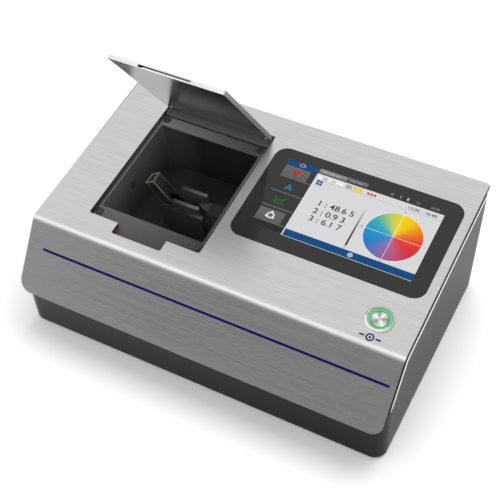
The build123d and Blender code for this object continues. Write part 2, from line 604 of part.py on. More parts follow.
def entrance_slit():
    """Plate with a narrow slit inside the entrance wall."""
    x0 = SPEC_X0 + 3
    plate = block(x0, x0 + 1, SLOT_MID - 8, SLOT_MID + 8, OPTIC_H - 8, OPTIC_H + 8)
    return plate - block(x0 - 1, x0 + 2, SLOT_MID - 0.2, SLOT_MID + 0.2, OPTIC_H - 4, OPTIC_H + 4)


def concave_grating():
    """Grating on the far wall; its face is a hollow sphere."""
    blank = rod_x(SPEC_X1 - 11, SPEC_X1 - 3, SLOT_MID, OPTIC_H - 8, 11.0)
    return blank - Pos(SPEC_X1 - 11 - 58, SLOT_MID, OPTIC_H - 8) * Sphere(60)


def sensor_board():
    """Line sensor on its board, beside the slit."""
    x0 = SPEC_X0 + 3
    board = block(x0, x0 + BOARD, SPEC_S0 + 6, SLOT_MID - 9, SPEC_H0 + 4, SPEC_H1 - 3)
    return board + block(x0 + BOARD, x0 + BOARD + 3, SPEC_S0 + 10, SLOT_MID - 12, SPEC_H0 + 14, SPEC_H1 - 14)


def optics_posts():
    """Four pillars from the base plate to the spectrometer's sloping floor."""
    floor = DECK * block(SPEC_X0 - 5, SPEC_X1 + 5, SPEC_S0 - 20, SPEC_S1 + 20, SPEC_H0, SPEC_H0 + 60)
    posts = []
    for x in (SPEC_X0 + 8, SPEC_X1 - 8):
        for s in (SPEC_S0 + 10, SPEC_S1 - 10):
            posts.append(rod(x, BEND_Y + s + 6, FLOOR_TOP, 80, 4.0) - floor)
    return group(posts)


# ---- lid -----------------------------------------------------------------------------
LID_LEFT, LID_RIGHT = OPEN_LEFT + LID_GAP, OPEN_RIGHT - LID_GAP
LID_FRONT, LID_REAR = OPEN_FRONT + 0.7, AXIS_S + 1.6
TAB_RADIUS = 2.4
LINER = 0.8
LINER_REAR = 161.5


def lid_skin():
    """Brushed top plate with folded lips; its front lip has the pull slot."""
    skin = block(LID_LEFT, LID_RIGHT, LID_FRONT, LID_REAR, -LID_DEPTH, 0)
    corners = [e for e in skin.edges().filter_by(Axis.Z) if e.center().Y < LID_FRONT + 1]
    skin = fillet(corners, 1.4)
    inside = block(LID_LEFT + LID_SKIN, LID_RIGHT - LID_SKIN, LID_FRONT + LID_SKIN, LID_REAR + 2,
                   -LID_DEPTH - 1, -LID_SKIN)
    skin = skin - inside
    skin = skin - block(LID_LEFT - 1, LID_RIGHT + 1, AXIS_S, LID_REAR + 2, -LID_DEPTH - 1, -LID_SKIN)
    for x0 in (LID_LEFT, LID_RIGHT - LID_SKIN):
        skin = skin + rod_x(x0, x0 + LID_SKIN, AXIS_S, AXIS_H, TAB_RADIUS - 0.4)
        skin = skin - rod_x(x0 - 1, x0 + LID_SKIN + 1, AXIS_S, AXIS_H, PIN_RADIUS + 0.06)
    front = LID_FRONT - 1
    skin = skin - block(NOTCH_LEFT, NOTCH_RIGHT, front, front + 2, -2.7, -1.2)
    return skin - block(NOTCH_LEFT, NOTCH_LEFT + 4, front, front + 2, -3.4, -1.2)


def lid_liner():
    """Mirror-bright plate that closes the underside."""
    clear = LID_SKIN + 0.05
    return block(LID_LEFT + clear, LID_RIGHT - clear, LID_FRONT + clear, LINER_REAR, -LID_DEPTH,
                 -LID_DEPTH + LINER)


LID_SCREWS = [(LID_LEFT + 4.5, 159.2), (LID_RIGHT - 4.5, 159.2)]


def lid_spacers():
    """Blocks that join the liner to the skin, with their screws' holes."""
    places = LID_SCREWS + [(CHAMBER_MID, 157.0), (LID_LEFT + 7, 32.0), (LID_RIGHT - 7, 32.0)]
    return group(rod(x, s, -LID_DEPTH + LINER, -LID_SKIN, 3.0) for x, s in places)


def lid_screws():
    """Low heads under the liner near the hinge."""
    return group(rod(x, s, -LID_DEPTH - 0.6, -LID_DEPTH, 1.5) for x, s in LID_SCREWS)


RAIL_HALF = LID_RIGHT - LID_SKIN - 0.4 - CHAMBER_MID
EAR = 1.5
RAIL_GAP = 2.2              # dark gap between the ledge frame and the hinge rail


def hinge_rail():
    """Fixed leaf behind the well: base, two ears for the pins, and a step up to the deck."""
    left, right = CHAMBER_MID - RAIL_HALF, CHAMBER_MID + RAIL_HALF
    low = LEDGE_TOP - LEDGE_SHEET
    rail = block(left, right, LEDGE_REAR + RAIL_GAP, 183.5, low, LEDGE_TOP)
    rail = rail + block(left, right, 182, 183.5, low, -SHEET)
    rail = rail + block(left, right, 182, 190, -SHEET - FLANGE, -SHEET)
    for x0 in (left, right - EAR):
        rail = rail + block(x0, x0 + EAR, AXIS_S - 1.9, AXIS_S + 1.9, LEDGE_TOP - 0.5, AXIS_H)
        rail = rail + rod_x(x0, x0 + EAR, AXIS_S, AXIS_H, 1.9)
        rail = rail - rod_x(x0 - 1, x0 + EAR + 1, AXIS_S, AXIS_H, PIN_RADIUS + 0.02)
    return drilled(rail, RAIL_STUDS, -9, 0, SCREW_RADIUS + 0.2)


def hinge_pins():
    """A pin on each side, pressed into the ear and reaching through the lid tab."""
    near = RAIL_HALF - EAR - 0.3
    far = LID_RIGHT - CHAMBER_MID - 0.1
    return group(rod_x(CHAMBER_MID + a, CHAMBER_MID + b, AXIS_S, AXIS_H, PIN_RADIUS)
                 for a, b in ((-far, -near), (near, far)))


# ---- display -------------------------------------------------------------------------
GLASS_MID_X, GLASS_MID_S = (GLASS_LEFT + GLASS_RIGHT) / 2, (GLASS_FRONT + GLASS_REAR) / 2
GLASS_UNDER = GLASS_PROUD - GLASS_THICK


def display_block(width, depth, h0, h1, radius=0.0):
    """Block centred on the display."""
    return block(GLASS_MID_X - width / 2, GLASS_MID_X + width / 2, GLASS_MID_S - depth / 2,
                 GLASS_MID_S + depth / 2, h0, h1, radius)


def display_glass():
    return block(GLASS_LEFT, GLASS_RIGHT, GLASS_FRONT, GLASS_REAR, GLASS_UNDER, GLASS_PROUD, GLASS_CORNER)


def display_gasket():
    """Foam tape under the edge of the glass."""
    width, depth = GLASS_RIGHT - GLASS_LEFT, GLASS_REAR - GLASS_FRONT
    ring = display_block(width - 0.4, depth - 0.4, -SHEET, GLASS_UNDER, GLASS_CORNER - 0.2)
    return ring - display_block(PANEL_WIDTH + 1, PANEL_DEPTH + 1, -5, 5)


def display_panel():
    return display_block(PANEL_WIDTH, PANEL_DEPTH, GLASS_UNDER - PANEL_THICK, GLASS_UNDER, 0.8)


PAN_FLOOR = GLASS_UNDER - PANEL_THICK
DISPLAY_POSTS = [(GLASS_MID_X + i * 52, GLASS_MID_S + j * 30) for i in (-1, 1) for j in (-1, 1)]


def display_bracket():
    """Pan that carries the panel, with ears to the deck studs in front and behind."""
    ring = display_block(178.0, 126.0, -SHEET - FLANGE, -SHEET, 6.0)
    pan = display_block(PANEL_WIDTH + 3.4, PANEL_DEPTH + 3.4, PAN_FLOOR - 1.2, -SHEET)
    bracket = ring + pan - display_block(PANEL_WIDTH + 1, PANEL_DEPTH + 1, PAN_FLOOR, 5)
    bracket = drilled(bracket, DISPLAY_STUDS, -9, 0, SCREW_RADIUS + 0.2)
    return drilled(bracket, DISPLAY_POSTS, -12, -4, SCREW_RADIUS + 0.2)


def display_board():
    low = PAN_FLOOR - 1.2 - 4.0
    board = display_block(126.0, 76.0, low - BOARD, low, 2.0)
    for dx, ds, w, d, t in ((-20, 8, 16, 16, 1.4), (25, -10, 10, 10, 1.2), (0, 28, 40, 5, 2.6)):
        x, s = GLASS_MID_X + dx, GLASS_MID_S + ds
        board = board + block(x - w / 2, x + w / 2, s - d / 2, s + d / 2, low - BOARD - t, low - BOARD)
    return drilled(board, DISPLAY_POSTS, -20, -5, SCREW_RADIUS + 0.2)


def display_standoffs():
    low = PAN_FLOOR - 1.2 - 4.0
    return group(rod(x, s, low, PAN_FLOOR - 1.2, 3.0) - rod(x, s, low - 1, 0, SCREW_RADIUS + THREAD_GAP)
                 for x, s in DISPLAY_POSTS)


# ---- test button ---------------------------------------------------------------------
BUTTON_TRAVEL = 1.2
CAP_TOP = 1.9


def button_bezel():
    """Bezel and threaded barrel in one turned piece."""
    flange = rod(BUTTON_X, BUTTON_S, 0, BEZEL_HEIGHT, BEZEL_RADIUS)
    flange = chamfer(flange.faces().sort_by(Axis.Z)[-1].edges(), 1.0)
    body = flange + rod(BUTTON_X, BUTTON_S, -20, 0, BARREL_RADIUS)
    body = body - rod(BUTTON_X, BUTTON_S, -6, 5, RING_RADIUS)
    return body - rod(BUTTON_X, BUTTON_S, -21, 5, 9.0)


def button_ring():
    """Lit ring that sits on the shoulder inside the bezel."""
    ring = rod(BUTTON_X, BUTTON_S, -6, 1.7, RING_RADIUS - 0.05)
    return ring - rod(BUTTON_X, BUTTON_S, -7, 3, CAP_RADIUS + 0.35)


def button_cap():
    """Shallow cone with a stem down to the contacts."""
    cap = rod(BUTTON_X, BUTTON_S, -3.5, CAP_TOP, CAP_RADIUS)
    cap = fillet(cap.faces().sort_by(Axis.Z)[-1].edges(), 0.5)
    dish = Pos(BUTTON_X, BUTTON_S, CAP_TOP - 0.3 + 0.35) * Cone(0.6, CAP_RADIUS - 1.2, 0.7)
    return cap - dish + rod(BUTTON_X, BUTTON_S, -12.0, -3.5, 2.5)


def button_contacts():
    """Contact block screwed into the barrel; its well takes the stem."""
    core = rod(BUTTON_X, BUTTON_S, -26, -6.2, 8.9)
    for x in (BUTTON_X - 4, BUTTON_X, BUTTON_X + 4):
        core = core + block(x - 0.4, x + 0.4, BUTTON_S - 1.4, BUTTON_S + 1.4, -32, -25)
    return core - rod(BUTTON_X, BUTTON_S, -14, 0, 2.9) - rod(BUTTON_X, BUTTON_S, -8, 0, CAP_RADIUS)


def button_nut():
    blank = Pos(BUTTON_X, BUTTON_S, -SHEET - 3.5) * extrude(RegularPolygon(13.5, 6, major_radius=False), 3.5)
    return blank - rod(BUTTON_X, BUTTON_S, -10, 0, BARREL_RADIUS + THREAD_GAP)


# ---- electronics on the base plate ---------------------------------------------------
BOARD_Z = FLOOR_TOP + 8.0
MAIN_X0, MAIN_X1, MAIN_Y0, MAIN_Y1 = 96.0, 166.0, BEND_Y + 40.0, BEND_Y + 168.0
POWER_X0, POWER_X1, POWER_Y0, POWER_Y1 = -160.0, -40.0, BEND_Y + 30.0, BEND_Y + 140.0
MAIN_POSTS = [(x, y) for x in (MAIN_X0 + 5, MAIN_X1 - 8) for y in (MAIN_Y0 + 5, MAIN_Y1 - 14)]
POWER_POSTS = [(x, y) for x in (POWER_X0 + 5, POWER_X1 - 5) for y in (POWER_Y0 + 5, POWER_Y1 - 5)]
BOARD_POSTS = MAIN_POSTS + POWER_POSTS


def circuit_board(x0, x1, y0, y1, posts, parts):
    """Board with low parts on it, each (x, y, width, depth, height)."""
    board = block(x0, x1, y0, y1, BOARD_Z, BOARD_Z + BOARD, 2.0)
    for x, y, w, d, t in parts:
        board = board + block(x - w / 2, x + w / 2, y - d / 2, y + d / 2, BOARD_Z + BOARD, BOARD_Z + BOARD + t)
    return drilled(board, posts, BOARD_Z - 1, BOARD_Z + 5, SCREW_RADIUS + 0.2)


def mainboard():
    parts = [(130, BEND_Y + 90, 22, 22, 1.6), (112, BEND_Y + 120, 14, 10, 1.2), (150, BEND_Y + 120, 8, 16, 6.0),
             (120, BEND_Y + 60, 30, 6, 6.0)]
    return circuit_board(MAIN_X0, MAIN_X1, MAIN_Y0, MAIN_Y1, MAIN_POSTS, parts)


def power_board():
    parts = [(-130, BEND_Y + 60, 18, 18, 12.0), (-90, BEND_Y + 100, 24, 12, 8.0), (-60, BEND_Y + 60, 20, 8, 6.0)]
    board = circuit_board(POWER_X0, POWER_X1, POWER_Y0, POWER_Y1, POWER_POSTS, parts)
    for x in (-110, -98, -86):
        board = board + rod(x, BEND_Y + 62, BOARD_Z + BOARD, BOARD_Z + BOARD + 14, 5.0)
    return board


def board_standoffs():
    return group(rod(x, y, FLOOR_TOP, BOARD_Z, 3.0) - rod(x, y, 0, BOARD_Z + 1, SCREW_RADIUS + THREAD_GAP)
                 for x, y in BOARD_POSTS)


def board_screws():
    seat = PAN_FLOOR - 1.2 - 4.0 - BOARD
    display = [DECK * flipped(pan_screw(x, s, seat, 5.0), x, s, seat) for x, s in DISPLAY_POSTS]
    return group(display + [pan_screw(x, y, BOARD_Z + BOARD, 5.0) for x, y in BOARD_POSTS])


# ---- nodes ---------------------------------------------------------------------------
WORLD_NODES = (lower_housing, base_plate, base_screws, rubber_feet, foot_screws, rear_brackets,
               front_brackets, rear_wall_screws, rear_panel, rear_panel_screws, power_switch_body,
               power_rocker, dc_jack, usb_b_port, usb_a_port, steel_cover, cover_studs, hex_nuts,
               optics_posts, mainboard, power_board, board_standoffs, board_screws)
DECK_NODES = (chamber_frame, chamber_tray, frame_screws, cuvette, cuvette_holder, holder_screws,
              light_nozzle, lamp_window, lamp_housing, lamp_led, heat_sink, lens_barrel,
              collecting_lens, spectrometer_housing, spectrometer_cover, entrance_slit,
              concave_grating, sensor_board, hinge_rail, hinge_pins, display_glass, display_gasket,
              display_panel, display_bracket, display_board, display_standoffs, button_bezel,
              button_ring, button_cap, button_contacts, button_nut)
LID_NODES = (lid_skin, lid_liner, lid_spacers, lid_screws)


def build():
    os.makedirs("parts", exist_ok=True)
    for made in WORLD_NODES:
        save(made.__name__, made())
    for made in DECK_NODES:
        save(made.__name__, made(), DECK)
    for made in LID_NODES:
        save(made.__name__, made(), OPEN_LID)
    save("apron_stripe", apron_stripe(), APRON)


build()
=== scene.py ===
"""Dresses a benchtop colorimeter: finishes for its solids, and the pieces that carry fine detail.

Sizes are millimetres until a point is placed; a frame's place() turns them into world metres.
Finishes read world metres, because every object sits at the origin.
"""

import logging
import math
from dataclasses import dataclass, field
from enum import Enum
from functools import reduce
from typing import Sequence, Union

import bmesh
import bpy
import numpy as np
from mathutils import Matrix, Vector


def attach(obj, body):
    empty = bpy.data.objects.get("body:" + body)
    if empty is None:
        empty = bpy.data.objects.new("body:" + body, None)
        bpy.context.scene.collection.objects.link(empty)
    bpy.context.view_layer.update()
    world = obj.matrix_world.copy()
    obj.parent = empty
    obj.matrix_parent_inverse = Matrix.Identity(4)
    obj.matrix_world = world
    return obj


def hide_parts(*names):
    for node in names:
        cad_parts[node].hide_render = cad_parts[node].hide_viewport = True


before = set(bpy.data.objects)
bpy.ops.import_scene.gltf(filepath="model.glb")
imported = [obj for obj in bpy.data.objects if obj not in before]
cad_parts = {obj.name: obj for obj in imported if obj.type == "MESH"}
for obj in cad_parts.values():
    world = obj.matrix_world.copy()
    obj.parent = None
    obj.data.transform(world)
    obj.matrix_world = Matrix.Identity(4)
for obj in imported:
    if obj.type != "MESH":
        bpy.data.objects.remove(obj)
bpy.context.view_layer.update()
log = logging.getLogger("colorimeter")

Array = np.ndarray
Pair = tuple[float, float]
Outline = tuple[Pair, ...]
Rows = tuple[tuple, ...]
Colour = tuple[float, float, float]
Socket = bpy.types.NodeSocket
Value = Union[Socket, float, Colour]

MM = 0.001
X, Y, Z = range(3)
HAIR = 0.0001  # metres over which a sharp change of finish runs
BLACK = (0.0, 0.0, 0.0)
WHITE = (1.0, 1.0, 1.0)


def to_linear(values: Array) -> Array:
    """Linear light of display values: c/12.92 below 0.04045, else ((c+0.055)/1.055)^2.4."""
    return np.where(values <= 0.04045, values / 12.92, ((values + 0.055) / 1.055) ** 2.4)


def srgb(red: int, green: int, blue: int) -> Colour:
    """Linear colour of an 8-bit display colour."""
    return tuple(float(v) for v in to_linear(np.array([red, green, blue]) / 255.0))


def scaled(colour: Colour, factor: float) -> Colour:
    """A colour times a number."""
    return tuple(c * factor for c in colour)


def circle(degrees: float) -> Pair:
    """Cosine and sine of an angle."""
    return math.cos(math.radians(degrees)), math.sin(math.radians(degrees))


# ---- frames -------------------------------------------------------------------------------


@dataclass(frozen=True)
class SlopeFrame:
    """A plane that leaves the bend line: x to the right, s along it, h square off its outer face."""

    slope: float  # degrees above the horizontal, going to the back
    bend_y: float = -78.105
    bend_z: float = 108.0

    def place(self, points: Array) -> Array:
        """World metres of (x, s, h) points: y = bend_y + s cos - h sin, z = bend_z + s sin + h cos.

        Args:
            points: (n, 3) millimetres in this frame.

        Returns:
            (n, 3) metres.
        """
        c, k = circle(self.slope)
        x, s, h = np.asarray(points, float).T
        return np.stack([x, self.bend_y + s * c - h * k, self.bend_z + s * k + h * c], 1) * MM

    def level(self, h: float) -> float:
        """Distance of the plane at h from the world origin, in metres: h + bend_z cos - bend_y sin."""
        c, k = circle(self.slope)
        return (h + self.bend_z * c - self.bend_y * k) * MM


@dataclass(frozen=True)
class LidFrame:
    """The deck frame carried round the hinge, so that the closed lid's numbers place the open one."""

    deck: SlopeFrame
    axis_s: float = 167.4
    axis_h: float = -3.0
    opened: float = 60.6  # degrees

    def place(self, points: Array) -> Array:
        """World metres: s = axis_s + ds cos + dh sin, h = axis_h - ds sin + dh cos, then the deck's place.

        Args:
            points: (n, 3) millimetres with the lid closed; ds and dh are taken from the axis.

        Returns:
            (n, 3) metres with the lid open.
        """
        c, k = circle(self.opened)
        x, s, h = np.asarray(points, float).T
        ds, dh = s - self.axis_s, h - self.axis_h
        opened = np.stack([x, self.axis_s + ds * c + dh * k, self.axis_h - ds * k + dh * c], 1)
        return self.deck.place(opened)


DECK = SlopeFrame(5.4)
APRON = SlopeFrame(53.3)
LID = LidFrame(DECK)

# ---- node graphs --------------------------------------------------------------------------


class Tree:
    """A node tree, with a short name for each kind of node that the finishes use."""

    def __init__(self, tree: bpy.types.NodeTree) -> None:
        """Empties the tree."""
        self.tree = tree
        tree.nodes.clear()

    def feed(self, target: Socket, value: Value) -> None:
        """Links value if it is a socket, and otherwise writes it as the input's constant.

        Args:
            target: input socket.
            value: output socket, number, vector or colour.
        """
        if isinstance(value, Socket):
            self.tree.links.new(value, target)
        elif target.type == "RGBA":
            target.default_value = (*value, 1.0)
        else:
            target.default_value = value

    def node(self, kind: str, inputs: dict[int | str, Value], **settings: object) -> bpy.types.Node:
        """Adds a node.

        Args:
            kind: its type, without "ShaderNode".
            inputs: what feeds each input, by name or number.
            settings: its properties.

        Returns:
            The node.
        """
        made = self.tree.nodes.new("ShaderNode" + kind)
        for key, value in settings.items():
            setattr(made, key, value)
        for key, value in inputs.items():
            self.feed(made.inputs[key], value)
        return made

    def out(self, kind: str, which: int | str = 0, inputs: dict[int | str, Value] | None = None,
            **settings: object) -> Socket:
        """Adds a node and gives one of its outputs."""
        return self.node(kind, inputs or {}, **settings).outputs[which]

    def coords(self, stretch: Sequence[float] = (1, 1, 1), turn: float = 0.0, uv: bool = False) -> Socket:
        """Object (or UV) coordinates, turned about X by turn degrees, then multiplied by stretch."""
        source = self.out("TexCoord", "UV" if uv else "Object")
        turned_by = (math.radians(turn), 0, 0)
        return self.out("Mapping", 0, {"Vector": source, "Rotation": turned_by, "Scale": stretch})

    def noise(self, size: float | Sequence[float], detail: float = 2.0, roughness: float = 0.6,
              uv: bool = False) -> Socket:
        """Fractal noise with size waves to the metre, or with one number for each axis."""
        vector = self.coords((size,) * 3 if isinstance(size, (int, float)) else size, uv=uv)
        kind = {"Scale": 1, "Detail": detail, "Roughness": roughness}
        return self.out("TexNoise", 0, {"Vector": vector, **kind})

    def math(self, operation: str, first: Value, second: Value = 0.5) -> Socket:
        """One Math node."""
        return self.out("Math", 0, {0: first, 1: second}, operation=operation)

    def chain(self, operation: str, *values: Value) -> Socket:
        """One operation carried along its values."""
        return reduce(lambda total, value: self.math(operation, total, value), values)

    def times(self, *values: Value) -> Socket:
        """Product of its values."""
        return self.chain("MULTIPLY", *values)

    def plus(self, *values: Value) -> Socket:
        """Sum of its values."""
        return self.chain("ADD", *values)

    def off(self, value: Value, middle: float) -> Socket:
        """How far a value lies above a number."""
        return self.math("SUBTRACT", value, middle)

    def away(self, value: Value, middle: float = 0.0) -> Socket:
        """How far a value lies from a number, to either side."""
        return self.math("ABSOLUTE", self.off(value, middle) if middle else value)

    def span(self, value: Value, low: float, high: float, to_low: float = 0, to_high: float = 1) -> Socket:
        """Maps low..high to to_low..to_high, held at the ends."""
        ends = {"From Min": low, "From Max": high, "To Min": to_low, "To Max": to_high}
        return self.out("MapRange", 0, {"Value": value, **ends})

    def vary(self, noise: Value, low: float = 0, high: float = 1) -> Socket:
        """Maps the usual reach of a noise, 0.3 to 0.7, to low..high."""
        return self.span(noise, 0.3, 0.7, low, high)

    def blend(self, factor: Value, first: Value, second: Value, kind: str = "MIX") -> Socket:
        """Mix of two colours by a factor."""
        inputs = {"Factor": factor, 6: first, 7: second}
        return self.out("Mix", 2, inputs, data_type="RGBA", blend_type=kind)

    def tint(self, factor: Value, colour: Colour, low: float = 0, high: float = 1) -> Socket:
        """A colour scaled from low to high by a factor."""
        return self.blend(factor, scaled(colour, low), scaled(colour, high))

    def axis(self, vector: Value, which: int) -> Socket:
        """One component of a vector."""
        return self.out("SeparateXYZ", which, {0: vector})

    def place(self, which: int) -> Socket:
        """World x, y or z."""
        return self.axis(self.coords(), which)

    def height(self) -> Socket:
        """Height square off the deck, as DECK.level gives it."""
        return self.axis(self.coords(turn=-DECK.slope), Z)

    def facing(self, which: int) -> Socket:
        """How far the face looks along an axis, -1 to 1."""
        return self.axis(self.out("NewGeometry", "True Normal"), which)

    def ink(self) -> Socket:
        """The colour attribute of the mesh."""
        return self.out("VertexColor", layer_name="ink")

    def ramp(self, value: Value, stops: Sequence[Pair]) -> Socket:
        """Grey levels over 0..1, straight between stops.

        Args:
            value: what is looked up.
            stops: (place, level) pairs.

        Returns:
            The grey.
        """
        grey = self.out("ValToRGB", 0, {0: value})
        band = grey.node.color_ramp.elements
        for place, _ in stops[1:-1]:
            band.new(place)
        for element, (place, level) in zip(band, stops):
            element.position = place
            element.color = (level, level, level, 1)
        return grey

    def seen(self) -> Socket:
        """1 for camera, glossy and see-through rays, else 0."""
        rays = self.node("LightPath", {}).outputs
        kinds = ("Camera", "Glossy", "Transmission")
        return self.chain("MAXIMUM", *(rays[f"Is {kind} Ray"] for kind in kinds))

    def light(self, kind: str, strength: Value) -> Socket:
        """A white Emission or Background."""
        return self.out(kind, 0, {"Color": WHITE, "Strength": strength})

    def either(self, factor: Value, first: Socket, second: Socket) -> Socket:
        """Mix of two shaders by a factor."""
        return self.out("MixShader", 0, {0: factor, 1: first, 2: second})


class Graph(Tree):
    """A material's node tree around one Principled shader."""

    def __init__(self, name: str) -> None:
        """Starts a material with its shader and output.

        Args:
            name: material name.
        """
        self.material = bpy.data.materials.new(name)
        self.material.use_nodes = True
        super().__init__(self.material.node_tree)
        self.shader = self.node("BsdfPrincipled", {})
        self.output = self.node("OutputMaterial", {"Surface": self.shader.outputs[0]})

    def set(self, **values: Value) -> None:
        """Feeds shader inputs by name, with underscores for spaces."""
        for key, value in values.items():
            self.feed(self.shader.inputs[key.replace("_", " ")], value)

    def matt(self, colour: Value, **values: Value) -> None:
        """Cloth or card without a shine."""
        self.set(Base_Color=colour, Roughness=0.9, Specular_IOR_Level=0.0, **values)

    def bump(self, height: Socket, distance: float, strength: float) -> None:
        """Sends a height x distance in metres to the shader's normal."""
        self.set(Normal=self.out("Bump", 0, {"Height": height, "Distance": distance, "Strength": strength}))


# ---- finishes -----------------------------------------------------------------------------


@dataclass(frozen=True)
class Finish:
    """Base of every finish; name is also the material's name."""

    name: str

    def paint(self, g: Graph) -> None:
        """Joins the finish's nodes to the shader.

        Args:
            g: a new graph.
        """
        raise NotImplementedError

    def material(self) -> bpy.types.Material:
        """Makes the finish once.

        Returns:
            Its material.
        """
        found = bpy.data.materials.get(self.name)
        if found:
            return found
        g = Graph(self.name)
        self.paint(g)
        return g.material


@dataclass(frozen=True)
class BrushedSteel(Finish):
    """Steel with straight brush lines along X, with painted shade in the seams beside it and on its side
    edges.
    """

    colour: Colour = (0.60, 0.60, 0.60)
    roughness: float = 0.32
    depth: float = 0.000012  # height of the lines, in metres
    contrast: float = 0.13  # how far the lines lighten and darken the colour
    edge: float = 0.14  # painted shade: tone of the edges that face along X
    steep: float = 1.3  # extra contrast of broad lines on faces steeper than the deck
    seam: float = 1.0  # x from which the shade of the right seam is painted on the sheet, in metres
    left_seam: Pair = (-0.04, 0.09)  # y between which the painted shade of the left seam grows darker, going back
    shadow: float = 0.09  # tone of the painted shade in a seam
    brush: Rows = ((45, 2300, 0.36), (26, 950, 0.36), (11, 380, 0.28))  # waves along, across, share

    def paint(self, g: Graph) -> None:
        """Lines = sum of share x noise(along, across), + streaks where steep; shade is painted in the seams
        and on the side edges.
        """
        lines = g.plus(*(g.times(g.noise((along, across, across), 1.0, 0.5), share)
                         for along, across, share in self.brush))
        streaks = g.off(g.noise((7, 380, 380)), 0.5)
        lines = g.plus(lines, g.times(streaks, g.span(g.facing(Z), 0.62, 0.9, self.steep, 0)))
        x = g.place(X)
        # painted shade of the seams beside the sheet
        left = g.times(g.span(x, -self.seam - HAIR, -self.seam, 1, 0),
                       g.span(g.place(Y), *self.left_seam, 0, 0.75))
        beside = g.math("MAXIMUM", g.span(x, self.seam, self.seam + HAIR), left)
        face = g.tint(g.span(lines, 0.25, 0.75), self.colour, 1 - self.contrast, 1 + self.contrast)
        face = g.blend(beside, face, scaled(self.colour, self.shadow))
        # painted shade on the edges that face along X
        side_shade = g.span(g.away(g.facing(X)), 0.8, 0.95)
        g.set(Base_Color=g.blend(side_shade, face, scaled(self.colour, self.edge)), Metallic=1.0,
              Roughness=g.vary(lines, self.roughness + 0.04, self.roughness - 0.04))
        g.bump(lines, self.depth, 0.5)


@dataclass(frozen=True)
class PolishedSteel(Finish):
    """Near-mirror steel with faint handling haze."""

    colour: Colour = (0.59, 0.59, 0.595)
    roughness: float = 0.18

    def paint(self, g: Graph) -> None:
        """Soft cloud noise varies roughness and tone a little."""
        haze = g.noise(25, 3.0)
        g.set(Base_Color=g.tint(haze, self.colour, 0.94, 1.06), Metallic=1.0,
              Roughness=g.vary(haze, self.roughness * 0.9, self.roughness * 1.1))


@dataclass(frozen=True)
class BezelSteel(Finish):
    """Polished bezel with a painted green reflection of the lit ring on its far side."""

    colour: Colour = (0.86, 0.87, 0.84)  # on the near side
    green: Colour = (0.46, 0.56, 0.46)  # painted reflection of the ring, on the far side
    middle: Pair = (0.1451, -0.0533)  # x and y of its middle, in metres
    reach: float = 0.0125  # its radius
    roughness: float = 0.20

    def paint(self, g: Graph) -> None:
        """Share = 0.45 x + y from the middle; the painted green reflection comes in from -0.55 to 0.15 of
        the reach.
        """
        haze = g.noise(60, 3.0)
        x, y = (g.off(g.place(which), self.middle[which]) for which in (X, Y))
        # painted green reflection of the ring on the far side
        far = g.span(g.plus(g.times(x, 0.45), y), -0.55 * self.reach, 0.15 * self.reach)
        tone = g.blend(far, self.colour, self.green)
        g.set(Base_Color=g.blend(g.vary(haze), tone, g.blend(0.06, tone, BLACK)), Metallic=1.0,
              Roughness=g.vary(haze, self.roughness * 0.9, self.roughness * 1.1))


@dataclass(frozen=True)
class PlainMetal(Finish):
    """Turned, stamped or anodised metal."""

    colour: Colour = (0.55, 0.55, 0.56)
    metal: float = 1.0
    roughness: float = 0.35

    def paint(self, g: Graph) -> None:
        """Even fine grain in colour and height, slow clouds in colour and roughness."""
        grain, cloud = g.noise(1500), g.noise(30, 2.0, 0.5)
        tone = g.plus(g.times(grain, 0.5), g.times(cloud, 0.5))
        g.set(Base_Color=g.tint(g.vary(tone), self.colour, 0.88, 1.12), Metallic=self.metal,
              Roughness=g.vary(cloud, self.roughness - 0.05, self.roughness + 0.06))
        g.bump(grain, 0.00001, 0.4)


@dataclass(frozen=True)
class HousingPaint(Finish):
    """Dark textured paint, with the bevel beside the cover left bright."""

    colour: Colour = (0.012, 0.012, 0.0125)
    bevel: Colour = (0.90, 0.90, 0.90)
    bare: float = 0.1792  # x from which the bevel is bare; inside of it lies the dark of the seam

    def paint(self, g: Graph) -> None:
        """The bevel is where the face looks both sideways and up: 0.4 < |nx| < 0.95 and nz > 0.2."""
        side = g.away(g.facing(X))
        edge = g.times(g.math("GREATER_THAN", side, 0.4), g.math("LESS_THAN", side, 0.95),
                       g.math("GREATER_THAN", g.facing(Z), 0.2),
                       g.math("GREATER_THAN", g.away(g.place(X)), self.bare))
        grain, cloud = g.noise(1300), g.noise(9, 3.0, 0.5)
        tone = g.plus(g.times(grain, 0.7), g.times(cloud, 0.3))
        g.set(Base_Color=g.blend(edge, g.tint(g.vary(tone), self.colour, 0.80, 1.2), self.bevel),
              Metallic=edge, Specular_IOR_Level=0.22, Roughness=g.vary(grain, 0.26, 0.34))
        g.bump(grain, 0.00003, 0.35)


@dataclass(frozen=True)
class Moulded(Finish):
    """Moulded plastic, rubber or foam with a fine spark texture, and printing ink."""

    colour: Colour = (0.02, 0.02, 0.022)
    roughness: float = 0.45
    grain: float = 2200.0
    relief: float = 0.00002
    shine: float = 0.5

    def paint(self, g: Graph) -> None:
        """Fine noise in tone and height, slow clouds in tone."""
        grain, cloud = g.noise(self.grain), g.noise(40, 2.0, 0.5)
        tone = g.plus(g.times(grain, 0.6), g.times(cloud, 0.4))
        g.set(Base_Color=g.tint(g.vary(tone), self.colour, 0.8, 1.25), Specular_IOR_Level=self.shine,
              Roughness=g.vary(tone, self.roughness - 0.05, self.roughness + 0.08))
        g.bump(grain, self.relief, 0.4)


@dataclass(frozen=True)
class ClearCell(Finish):
    """Clear moulded glass with a faint warm tone."""

    colour: Colour = (0.93, 0.92, 0.89)
    roughness: float = 0.02
    ior: float = 1.46

    def paint(self, g: Graph) -> None:
        """Full transmission, with cloudy roughness."""
        haze = g.noise(90, 2.0, 0.5)
        g.set(Base_Color=g.tint(haze, self.colour, 0.97, 1), Transmission_Weight=1.0, IOR=self.ior,
              Roughness=g.vary(haze, self.roughness * 0.5, self.roughness * 1.5))


